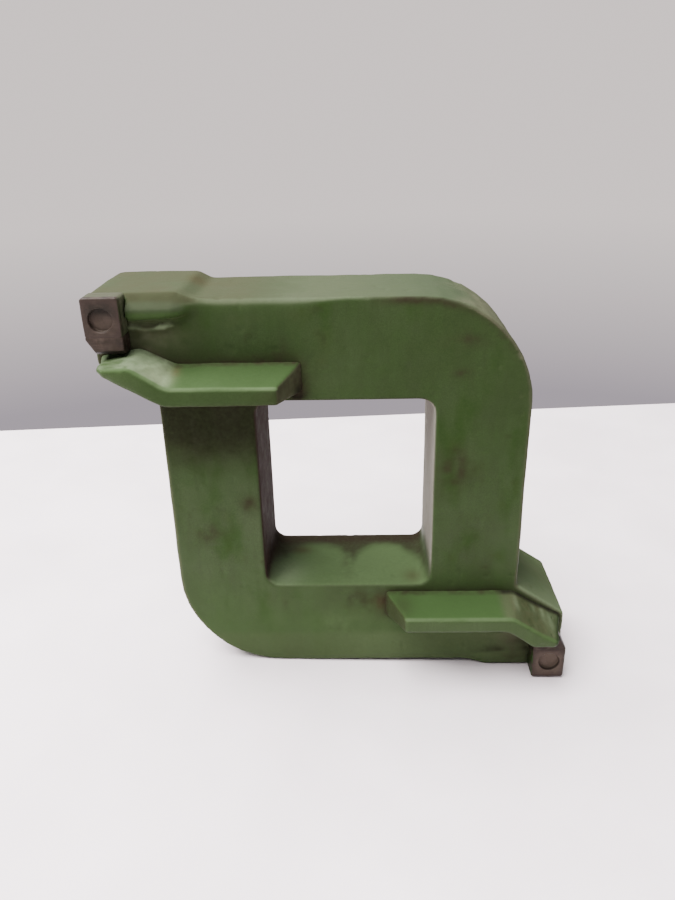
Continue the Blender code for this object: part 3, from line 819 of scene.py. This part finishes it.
def paint_rims(skin):
    """Painted highlights on the side rims and on the lower boss's front edge, painted light on the lower
    boss's end and along the bottom of the front, and a dirty line under the right of the top edge.
    """
    x, y, z, ny, rim = skin.x, skin.y, skin.z, skin.ny, skin.rim
    # Painted highlight along the rounded front edges at the sides
    side_rim_highlight = ramp(rim, 2.0, 0.5) * ramp(-ny, 0.2, 0.5) * ramp(np.abs(x), 50.0, 58.0)
    skin.over(LIGHT_OLIVE, side_rim_highlight * (1 - 0.7 * ramp(z, 30.0, 55.0)), 0.5, fine=0.25)
    boss = ramp(x, 63.0, 65.0) * ramp(z, -36.0, -39.0)
    # Painted light on the end of the lower boss, stronger towards the front
    lit_boss_end = boss * ramp(skin.nx, 0.2, 0.5)
    skin.over(LIGHT_GREEN, lit_boss_end, 0.95)
    skin.over(LIGHT_OLIVE, lit_boss_end, 0.28, rough=0.2)
    skin.over(PALE_GREEN, lit_boss_end * ramp(-y, -4.0, 14.0), 0.36)
    # Painted highlight along the lower boss's rounded front edge
    skin.over(PALE_GREEN, boss * ramp(rim, 1.8, 0.4) * ramp(-y, 16.5, 18.0), 0.4)
    line = np.exp(-(((rim - 1.5 - 0.4 * skin.fine) / 1.5) ** 2))
    line *= ramp(-ny, 0.35, 0.7) * ramp(z, 40.0, 66.0)
    skin.over(UMBER, line * ramp(x, 6.0, 18.0) * (1 - 0.6 * ramp(x, 28.0, 45.0)), 0.65, rough=0.3)
    # Painted light from the floor along the bottom of the front
    bottom_bounce_light = skin.front * ramp(z, -57.0, -61.0)
    skin.over(LIGHT_GREEN, bottom_bounce_light * ramp(x, -20.0, 20.0), 0.4, rough=0.2)
    skin.over(LIGHT_OLIVE, bottom_bounce_light, 0.16)


# Marks on the front: handling marks, painted shade where the upper barrier's inner end meets the body, and
# two patches of painted light low down. Each gives place as (x, z), radii, colour and strength
FRONT_MARKS = (
    ((-35.0, -2.0), (3.0, 3.0), UMBER, 0.5),
    ((-50.5, -14.0), (5.0, 4.0), UMBER, 0.4),
    ((-22.0, 55.0), (3.0, 4.0), UMBER, 0.15),
    ((40.0, 57.0), (6.0, 2.5), UMBER, 0.3),
    ((39.5, 46.0), (3.0, 2.0), UMBER, 0.35),
    ((38.5, 10.5), (7.0, 7.0), UMBER, 0.45),
    ((53.5, 61.0), (4.0, 6.0), UMBER, 0.4),
    ((6.0, -44.0), (9.0, 6.0), UMBER, 0.35),
    ((13.0, -45.0), (3.0, 3.0), RUST, 0.8),
    ((67.0, -70.0), (9.0, 3.0), UMBER, 0.5),
    ((66.5, -62.0), (5.5, 5.0), UMBER, 0.6),
    # painted shade at the foot of the upper barrier's inner end
    ((-16.0, 39.0), (3.4, 2.6), SHADOW, 1.2),
    # painted light low on the front
    ((-4.0, -54.0), (10.0, 5.0), LIGHT_GREEN, 0.35),
    ((42.0, -68.0), (8.0, 3.0), LIGHT_GREEN, 0.25),
)


def paint_grime_light_and_shade(skin):
    """Marks on the front, darker brown along the barrier roots, painted light in the recess beside each
    block, and painted shade with some grime on the leg below the upper barrier.
    """
    for (x, z), (wide, high), colour, strength in FRONT_MARKS:
        mark = skin.spot((x, 0, z), (wide, 0, high)) * skin.front
        skin.over(colour, mark, strength, fine=0.4)
    for sign, reach in ((1, 2.2), (-1, 1.6)):
        root = [(sign * x, sign * z) for x, z in rounded(mirrored(BARRIER_ROOT))]
        # Darker brown towards each barrier's root
        near_barrier_root = np.exp(-distance_to(skin.points, root) / reach)
        skin.over(UMBER, skin.front * near_barrier_root, 0.85, fine=0.3)
        # Painted light lifting the shaded recess beside each block
        lit_pocket = skin.spot((-sign * 66.0, 0, sign * 60.0), (12.0, 0, 6.0)) * ramp(-skin.ny, 0.2, 0.6)
        skin.over(LIGHT_OLIVE, lit_pocket, 0.6, fine=0.3)
    # Painted shade, with some brown grime, on the leg below the upper barrier
    leg_shade_and_grime = skin.front * ramp(skin.z, 41.0, 39.0) * ramp(skin.x, -26.0, -30.0)
    uneven_z = skin.z + 3 * skin.rough
    skin.over(UMBER, leg_shade_and_grime * ramp(uneven_z, 8.0, 24.0), 0.45)
    skin.over(SHADOW, leg_shade_and_grime * ramp(uneven_z, 10.0, 26.0), 0.5)


def paint_pad(skin):
    """The upper pad's olive slope and greener face with a painted highlight along its top, and painted
    highlight streaks on the bead.
    """
    beside_block = ramp(skin.x, -44.0, -50.0)
    slope = ramp(skin.nz, 0.3, 0.6) * ramp(-skin.y, 17.4, 18.4) * beside_block * ramp(skin.z, 60.0, 64.0)
    skin.over(OLIVE, slope, 0.95)
    skin.over(UMBER, slope, 0.12, fine=0.1)
    face = ramp(-skin.y, 20.0, 21.4) * beside_block * ramp(skin.z, 58.0, 62.0) * ramp(-skin.ny, 0.2, 0.5)
    # Painted highlight along the top of the pad's face
    skin.over(GREY_GREEN, face * ramp(skin.z, 68.0, 70.0), 0.6)
    skin.over(GREEN, face * ramp(skin.z, 69.6, 68.2), 0.5)
    # Painted highlight streaks along the bead
    crest_highlight = ramp(-skin.y, 19.3, 20.1) * skin.spot((-61.5, 0, 63.8), (9.5, 0, 1.5))
    skin.over(PALE_GREEN, crest_highlight, 0.85, fine=0.5)


def paint_window(skin):
    """Window: plum left side and ceiling, pale right side, and a green floor with two cleaner arches and
    painted light in its front left corner.
    """
    x, y, z = skin.x, skin.y, skin.z
    left = skin.inside * ramp(-x, 27.0, 29.8)
    right = skin.inside * ramp(x, 27.0, 29.8)
    ceiling = skin.inside * ramp(z, 33.0, 35.8)
    floor = skin.inside * ramp(-z, 33.0, 35.8)
    skin.over(PLUM, left, 0.95, fine=0.1)
    skin.over(PLUM, ceiling, 0.8)
    skin.over(PALE, right * ramp(z, -36.0, -22.0), 0.9, fine=0.1)
    away = np.full(len(x), np.inf)
    for arch_x, wide, deep in ((-12.5, 18.5, 29.0), (14.5, 16.0, 30.0)):
        away = np.minimum(away, np.sqrt(((x - arch_x) / wide) ** 2 + ((y + 18.0) / deep) ** 2))
    arches = ramp(away + 0.02 * skin.fine + 0.07 * skin.rough, 1.10, 0.84)
    skin.over(UMBER, floor * (1 - arches), 0.6)
    skin.over(LIGHT_GREEN, floor * arches, 0.9, rough=0.15)
    skin.over(UMBER, floor * ramp(y, 8.5, 15.0), 0.85)
    skin.over(UMBER, floor * ramp(x - 0.45 * y, -26.5, -32.0), 0.5)
    skin.over(RUST, floor * skin.spot((-19.0, 6.0, 0), (4.0, 3.0, 0)), 0.5)
    # Painted light in the floor's front left corner, which the left wall shades
    skin.over(PALE_GREEN, floor * skin.spot((-24.5, -10.0, 0), (7.0, 10.0, 0)), 0.75)
    skin.over(UMBER, floor * skin.spot((-0.5, 0, 0), (2.2, 12.0, 0)), 0.25, fine=0.2)
    skin.over(RUST, floor * skin.spot((24.5, -13.0, 0), (3.0, 4.0, 0)), 0.35)


def paint_moulding(mesh):
    skin = MouldingSkin(mesh)
    for paint in (paint_faces, paint_dust_and_sheen, paint_rims, paint_grime_light_and_shade, paint_pad, paint_window):
        paint(skin)
    skin.store()


def cut(solid, depth, **settings):
    geometry = [*solid.verts, *solid.edges, *solid.faces]
    bmesh.ops.bisect_plane(solid, geom=geometry, plane_co=(0, depth, 0), **settings)


def opened(mesh, low, high):
    """The part of the cast skin between two depths, open where it is cut."""
    solid = bmesh.new()
    solid.from_mesh(mesh)
    for depth, direction in ((low, -1.0), (high, 1.0)):
        if depth is not None:
            cut(solid, depth, plane_no=(0, direction, 0), clear_outer=True)
    return solid


def is_window_face(face):
    centre = face.calc_center_median()
    return abs(centre.x) < WINDOW_WIDTH + LINING_REACH and abs(centre.z) < WINDOW_HEIGHT + LINING_REACH


def cap(solid, depth, extra=()):
    """Closes the open edges at a depth, together with extra rows of points there."""
    edges = [e for e in solid.edges if e.is_boundary and all(abs(v.co.y - depth) < 1e-3 for v in e.verts)]
    for row in extra:
        found = [solid.edges.get(pair) for pair in zip(row, row[1:] + row[:1])]
        edges += [edge for edge in found if edge not in edges]
    bmesh.ops.triangle_fill(solid, use_beauty=True, use_dissolve=False, edges=edges)


def split_moulding(mesh):
    """Front layer, shell with its winding pocket, and window tube, which meet without a gap."""
    front = opened(mesh, None, JOINT)
    cap(front, JOINT)
    tube = opened(mesh, JOINT, POCKET_BACK)
    bmesh.ops.delete(tube, geom=[f for f in tube.faces if not is_window_face(f)], context="FACES")
    shell = opened(mesh, JOINT, None)
    cut(shell, POCKET_BACK, plane_no=(0, 1, 0))
    lining = [f for f in shell.faces if is_window_face(f) and f.calc_center_median().y < POCKET_BACK]
    bmesh.ops.delete(shell, geom=lining, context="FACES")
    for solid, distance in ((tube, TUBE_WALL), (shell, POCKET)):
        outline = rounded(window_corners(distance))
        rows = [add_row(solid, [(x, depth, z) for x, z in outline]) for depth in (JOINT, POCKET_BACK)]
        wall(solid, *rows)
        for row, depth in zip(rows, (JOINT, POCKET_BACK)):
            cap(solid, depth, [row])
    return new_mesh(front), new_mesh(shell), new_mesh(tube)


def add_moulding():
    mesh = moulding_mesh()
    shape_moulding(mesh)
    paint_moulding(mesh)
    front, shell, tube = split_moulding(mesh)
    place(front, "front_fill_cast", RESIN, "front_fill")
    place(shell, "case_shell_cast", RESIN, "case_shell")
    place(tube, "core_tube_wall", RESIN, "core_tube")


# Barrier ribs


def barrier_mesh(which, seed):
    root, edge = mirrored(BARRIER_ROOT), mirrored(BARRIER_EDGE)
    flared = rounded(inset(root, -BARRIER_FLARE))
    loops = [
        (flared, FRONT + BARRIER_FLARE),
        (flared, FRONT - BARRIER_FOOT),
        (rounded(root), FRONT - BARRIER_ROUND),
        *edge_loops(edge, BARRIER_FRONT, BARRIER_ROUND, -1),
    ]
    mesh = fused([stack(loops), lump(*BARRIER_LUMPS[which])], BARRIER_VOXEL)
    relax(mesh, 0.45 + 0.35 * ramp(points_of(mesh)[:, 0], -60.0, -74.0), 12)
    points = points_of(mesh)
    normals = normals_of(mesh)
    tip = ramp(points[:, 0], -52.0, -72.0)
    swell = 0.14 * blotches(points, 11.0, seed) - 0.03
    swell += (0.03 + 0.09 * tip) * blotches(points, 4.5, seed + 3)
    chips = ramp(blotches(points, 3.0, seed + 6, 2), 0.7, 0.95) * (0.04 + 0.14 * tip)
    chips *= 1 - spot(points, (-60.0, -28.0, 0), (7.0, 9.0, 0))
    if which == "lower":
        points[:, 0] -= LOWER_BEND_SHIFT * spot(points, (-58.0, 0, 0), (9.0, 0, 0))
    points += normals * (swell - chips)[:, None]
    set_points(mesh, points)
    return mesh


class BarrierSkin(Skin):
    """A rib before the lower one is turned over, with masks of its upper side, front and thick end."""

    def __init__(self, mesh, which, seed):
        super().__init__(mesh, fine=(2.4, seed + 12, 3), rough=(6.0, seed + 11, 4))
        if which == "lower":
            self.nz = -self.nz
        self.above = ramp(self.nz, 0.3, 0.8)
        self.front = ramp(-self.ny, 0.5, 0.85)
        self.tip = ramp(self.x, -54.5, -58.5)


def paint_upper_barrier(skin):
    """Pale slope, part rubbed paint and part painted highlight, with a brown mark and a painted highlight
    at its bend, and a dirty inner end with painted shade where it meets the body.
    """
    x, fine, above = skin.x, skin.fine, skin.above
    skin.over(DEEP, above * ramp(x, -48.0, -25.0), 0.25)
    skin.over(DEEP, skin.front * ramp(x, -74.0, -58.0), 0.45)
    # Pale slope: rubbed paint with a painted highlight
    pale_rub_and_highlight = ramp(0.6 * fine + 0.7 * skin.rough, -1.1, 0.1) * (0.95 - 0.5 * ramp(x, -68.0, -74.0))
    skin.over(PALE_GREEN, above * skin.tip * pale_rub_and_highlight)
    bend = skin.spot((-55.0, -24.5, 0), (1.9, 3.6, 0)) * above
    skin.over(OCHRE, bend, 0.7, fine=0.4)
    skin.over(UMBER, bend * ramp(fine, 0.1, 0.9), 0.5)
    # Painted highlight on the slope near the bend
    skin.over(HIGHLIGHT_GREEN, ramp(skin.nz, 0.2, 0.6) * skin.spot((-59.5, -29.5, 0), (4.0, 6.5, 0)), 1.1)
    skin.over(UMBER, skin.front * skin.spot((-17.0, 0, 44.0), (10.0, 0, 5.0)), 0.35)
    inner_end = ramp(skin.nx, 0.4, 0.8)
    skin.over(OLIVE, inner_end, 0.9)
    skin.over(LIGHT_OLIVE, inner_end, 0.25)
    skin.over(UMBER, inner_end, 0.15, fine=0.3)
    # Painted shade where the inner end meets the body
    skin.over(SHADOW, skin.spot((-15.6, -20.0, 41.0), (3.0, 4.5, 2.6)), 0.95)


# Pale streaks across the lower barrier's slope: x, y and how far each reaches along them
LOWER_STREAKS = (
    (-62.3, -25.0, 1.1, 5.0),
    (-69.0, -22.5, 1.0, 3.0),
    (-72.6, -23.0, 0.9, 4.0),
    (-75.3, -25.5, 1.1, 4.5),
)


def paint_lower_barrier(skin):
    """Fresh green top, a brown slope with pale streaks across it, and painted shade on its thick end's
    outer face.
    """
    x, nx, above, tip = skin.x, skin.nx, skin.above, skin.tip
    skin.over(GREEN, above * (1 - tip), 0.7)
    skin.over(BRIGHT, above * (1 - tip), 0.3)
    skin.over(OCHRE, above * ramp(x, -59.0, -62.0) * ramp(x, -78.0, -68.0), 0.45, fine=0.3)
    skin.over(LIGHT_OLIVE, above * tip, 0.42)
    for streak_x, streak_y, wide, deep in LOWER_STREAKS:
        streak = skin.spot((streak_x, streak_y, 0), (wide, deep, 0))
        skin.over(PALE_GREEN, above * streak, 0.55, fine=0.3)
    skin.over(UMBER, above * skin.spot((-20.0, -27.0, 0), (4.0, 7.0, 0)), 0.35)
    skin.over(UMBER, ramp(nx, 0.5, 0.85), 0.45)
    # Painted shade on the thick end's outer face
    skin.over(DEEP, ramp(-nx, 0.35, 0.75), 0.8)


def paint_barrier(mesh, which, seed):
    skin = BarrierSkin(mesh, which, seed)
    root = ramp(-skin.y, 22.0, 19.2)
    skin.over(UMBER, ramp(-skin.nz, 0.35, 0.8), 0.55, rough=0.25)
    skin.over(GREEN, skin.above * (1 - skin.tip), 0.5)
    skin.over(GREY_GREEN, skin.above * (1 - skin.tip), 0.12)
    if which == "upper":
        paint_upper_barrier(skin)
        root = root * ramp(skin.x, -70.0, -62.0)
    else:
        paint_lower_barrier(skin)
    # Painted highlight along the front top edge
    crest_highlight = ramp(-skin.y, 33.2, 34.2) * ramp(skin.nz, 0.12, 0.45) * ramp(-skin.ny, 0.12, 0.45)
    skin.over(BRIGHT, crest_highlight, 0.9, rough=0.3)
    skin.over(PALE_GREEN, crest_highlight * ramp(skin.x, -66.0, -54.0), 0.22, rough=0.12)
    skin.over(UMBER, root, 0.45, fine=0.4)
    if which == "lower":
        # Painted shade where the lower barrier's thick end meets the boss
        skin.over(SHADOW, ramp(-skin.y, 21.4, 19.4) * skin.tip * skin.above, 0.8)
    skin.store()


def add_barriers():
    for which, seed in (("upper", 40), ("lower", 60)):
        mesh = barrier_mesh(which, seed)
        paint_barrier(mesh, which, seed)
        if which == "lower":
            turned(mesh)
        place(mesh, f"barrier_{which}_cast", BARRIER_RESIN, f"barrier_{which}")


# Terminal blocks and straps


def seat_loops():
    """The shallow round seat of the terminal screw, from its floor to its softened mouth."""
    angles = [math.tau * k / SEAT_SIDES for k in range(SEAT_SIDES)]
    steps = ((-SEAT_EDGE, SEAT_DEPTH), (0.0, SEAT_DEPTH - SEAT_EDGE), (0.0, SEAT_EDGE), (SEAT_EDGE, 0.0))
    loops = []
    for wider, depth in steps:
        radius = SEAT_RADIUS + wider
        ring = [(-SEAT_X + radius * math.cos(a), SEAT_Z + radius * math.sin(a)) for a in angles]
        loops.append((ring, BLOCK_FRONT + depth))
    return loops


def block_mesh(seed):
    loops = edge_loops(block_corners(), BLOCK_FRONT, BLOCK_EDGE, -1, BLOCK_ARC_STEPS)[::-1]
    sides, start = loops[-1]
    loops += [(sides, start + (BLOCK_BACK - start) * k / BLOCK_ROWS) for k in range(1, BLOCK_ROWS + 1)]
    loops = [(divided(o, lambda side: BLOCK_PIECES if side > BLOCK_CORNER else 1), y) for o, y in loops]
    mesh = stack(seat_loops() + loops)
    points = points_of(mesh)
    round_seat = ramp(distance_to_seat(points), SEAT_RADIUS + 0.6, SEAT_RADIUS + 1.2)
    push(mesh, round_seat * (0.07 * blotches(points, 3.0, seed) + 0.03 * blotches(points, 1.0, seed + 2)))
    return mesh


def paint_block(mesh, which, seed):
    """Painted before the lower one is turned over, so its upper side still faces down here."""
    skin = Skin(mesh, fine=(1.6, seed + 5, 3))
    y, nx, ny, nz = skin.y, skin.nx, skin.ny, skin.nz
    hole = distance_to_seat(skin.points)
    seat = ramp(hole, SEAT_RADIUS + 0.6, SEAT_RADIUS + 0.1)
    seat_floor = seat * ramp(y, BLOCK_FRONT + 0.5, BLOCK_FRONT + 1.2)
    sides = 1 - seat
    face = ramp(-ny, 0.4, 0.8)
    corner = ramp(distance_to(skin.points, rounded(block_corners())), 2.4, 0.3)
    if which == "lower":
        skin.over(OXIDE, face, 0.6)
    skin.over(PLUM, corner * ramp(-ny, 0.3, 0.8), 0.8)
    if which == "upper":
        skin.over(OXIDE, seat_floor, 0.25)
        resin = ramp(nz, 0.3, 0.6) * ramp(y, BLOCK_FRONT + 1.2, BLOCK_FRONT + 3.0) * sides
        skin.over(GREY_GREEN, resin)
        skin.over(GREY_OLIVE, resin, 0.8)
        inner_side = ramp(nx, 0.4, 0.8) * sides
        # Painted light on the inner side, which sits in shade beside the pad
        skin.over(LIGHT_OLIVE, inner_side * ramp(y, BLOCK_FRONT + 1.0, BLOCK_FRONT + 3.0))
        skin.over(GREEN, inner_side, 0.25, fine=0.2)
        skin.over(SHADOW, ramp(-nx, 0.3, 0.7) * sides, 0.5)
        skin.over(UMBER, face, 0.3, fine=0.15)
        skin.over(OXIDE, face * skin.spot((-SEAT_X, 0, SEAT_Z - 2.0), (3.6, 0, 2.6)), 0.14)
        # Painted shadow of the seat's upper rim on its floor
        skin.over(SHADOW, seat * ramp(hole, 1.4, 3.6) * ramp(skin.z, SEAT_Z - 0.5, SEAT_Z + 2.5), 0.75)
    else:
        # Painted light on the seat floor, which the barrier's thick end shades
        skin.over(OXIDE, seat_floor, 0.9)
        skin.over(MOSS, ramp(-nx, 0.4, 0.8) * sides, 0.4, fine=0.3)
        skin.over(MOSS, ramp(nx, 0.4, 0.8) * sides * ramp(skin.fine, -0.4, 0.4), 0.9)
        skin.over(PALE_GREEN, ramp(-nz, 0.4, 0.8) * sides, 0.18)
    skin.store()


def strap_mesh(seed):
    """The thick foot under a block, cut off towards its outer lower corner, and its tail into the resin."""
    foot = [
        (BLOCK_FRONT, STRAP_TOP),
        (BLOCK_FRONT, STRAP_BOTTOM + STRAP_BEVEL),
        (BLOCK_FRONT + STRAP_BEVEL, STRAP_BOTTOM),
        (STRAP_BACK, STRAP_BOTTOM),
        (STRAP_BACK, STRAP_TOP),
    ]
    foot = divided(foot, lambda side: math.ceil(side / STRAP_SPACING))
    sections = []
    for k in range(STRAP_STEPS + 1):
        x = -STRAP_OUTER + (STRAP_OUTER - STRAP_INNER) * k / STRAP_STEPS
        lost = max(0.0, STRAP_TAPER * (-x - STRAP_SHOULDER))
        share = 1 - lost / (STRAP_TOP - STRAP_BOTTOM)
        sections.append((x, [(y, STRAP_TOP - (STRAP_TOP - z) * share) for y, z in foot]))
    tail = [(y, STRAP_BOTTOM) for y in (TAIL_FRONT, TAIL_BACK)]
    tail += [(y, STRAP_BOTTOM + TAIL_THICK) for y in (TAIL_BACK, TAIL_FRONT)]
    mesh = fused([sweep(sections), sweep([(-TAIL_OUTER, tail), (-STRAP_INNER, tail)])], STRAP_VOXEL)
    relax(mesh, 0.5, 3)
    push(mesh, 0.09 * blotches(points_of(mesh), 2.6, seed) - 0.02)
    return mesh


def paint_strap(mesh, seed):
    skin = Skin(mesh, fine=(1.5, seed + 4, 3))
    skin.over(UMBER, ramp(skin.fine, -0.6, 0.8), 0.6)
    # Painted shade on what faces down as drawn: the upper strap's underside, and the lower strap's top
    # after its turn
    skin.over(SHADOW, ramp(-skin.nz, 0.2, 0.6), 0.7)
    skin.store()


def add_terminals():
    for which, seed in (("upper", 80), ("lower", 90)):
        block = block_mesh(seed)
        paint_block(block, which, seed)
        strap_seed = seed + 3
        strap = strap_mesh(strap_seed)
        paint_strap(strap, strap_seed)
        for mesh, piece, ending in ((block, "block", "seated"), (strap, "strap", "bent")):
            if which == "lower":
                turned(mesh)
            node = f"terminal_{piece}_{which}"
            place(mesh, f"{node}_{ending}", TERMINAL, node)


# Studio


def table_material():
    s = Surface("floor")
    colour = s.tones(s.noise(60.0, 4.0), TABLE_TONES)
    s.bump([(s.noise(14.0, 3.0), 0.15)])
    return s.finish(colour, s.between(s.noise(30.0, 3.0), 0.6, 0.75))


def add_table():
    """A pale table top that touches the lower boss and the left end of the body's bottom edge."""
    right = CENTRE + Vector((RAMP_HIGH, 0.0, -BOSS_TOP)) * MM
    left = CENTRE + Vector((-(HALF_WIDTH - BODY_CORNER), 0.0, -HALF_HEIGHT)) * MM
    slope = (right.z - left.z) / (right.x - left.x)
    solid = bmesh.new()
    corners = [(-TABLE_SIDE, TABLE_NEAR), (TABLE_SIDE, TABLE_NEAR)]
    corners += [(x, TABLE_FAR + TABLE_SKEW * x) for x in (TABLE_SIDE, -TABLE_SIDE)]
    solid.faces.new([solid.verts.new((x, y, right.z + (x - right.x) * slope)) for x, y in corners])
    mesh = new_mesh(solid, "floor")
    if mesh.polygons[0].normal.z < 0:
        mesh.flip_normals()
    mesh.materials.append(table_material())
    floor = new_object("floor", mesh)


def add_lamp():
    """One wide soft lamp above and to the left."""
    lamp = bpy.data.lights.new("key", "AREA")
    lamp.shape = "RECTANGLE"
    lamp.size, lamp.size_y = LAMP_SIZE
    lamp.energy = LAMP_ENERGY
    lamp.color = LAMP_COLOUR
    thing = new_object("key", lamp)
    thing.location = LAMP_PLACE
    thing.rotation_mode = "QUATERNION"
    thing.rotation_quaternion = (Vector(LAMP_PLACE) - Vector(LAMP_TARGET)).to_track_quat("Z", "Y")


def add_world():
    """A pale grey wall all round, and dimmer room light from the front than from the wall behind."""
    world = bpy.data.worlds.new("room")
    bpy.context.scene.world = world
    world.use_nodes = True
    sky = Nodes(world.node_tree)
    direction = sky.add("SeparateXYZ", {"Vector": sky.add("TexCoord", {}).outputs["Generated"]})
    room = sky.tree.nodes["Background"]
    seen = sky.add("Background", {})
    for axis, node, stops in (("Y", room, ROOM_TONES), ("Z", seen, WALL_TONES)):
        share = sky.between(direction.outputs[axis], 0.0, 1.0, -1.0, 1.0)
        sky.fill(node, {"Color": sky.tones(share, stops)})
    to_camera = sky.add("LightPath", {}).outputs["Is Camera Ray"]
    both = sky.add("MixShader", {"Fac": to_camera, 1: room.outputs[0], 2: seen.outputs[0]})
    sky.fill(sky.tree.nodes["World Output"], {"Surface": both.outputs["Shader"]})


def add_camera():
    """The viewpoint: a little above and in front, pitched 24 degrees down."""
    pitch, yaw, roll = CAMERA_PITCH, CAMERA_YAW, CAMERA_ROLL
    forward = Vector((math.sin(yaw) * math.cos(pitch), math.cos(yaw) * math.cos(pitch), -math.sin(pitch)))
    level = Vector((math.cos(yaw), -math.sin(yaw), 0.0))
    down = forward.cross(level)
    right = math.cos(roll) * level + math.sin(roll) * down
    down = -math.sin(roll) * level + math.cos(roll) * down
    camera = bpy.data.cameras.new("camera")
    camera.lens = CAMERA_LENS
    camera.sensor_width = CAMERA_SENSOR
    camera.clip_start = CAMERA_NEAR
    thing = new_object("camera", camera)
    turn = Matrix((right, -down, -forward)).transposed().to_4x4()
    thing.matrix_world = Matrix.Translation(CENTRE + Vector(CAMERA_PLACE) * MM) @ turn
    bpy.context.scene.camera = thing


add_moulding()
add_barriers()
add_terminals()
finish_inner_nodes()
add_table()
add_world()
add_lamp()
add_camera()
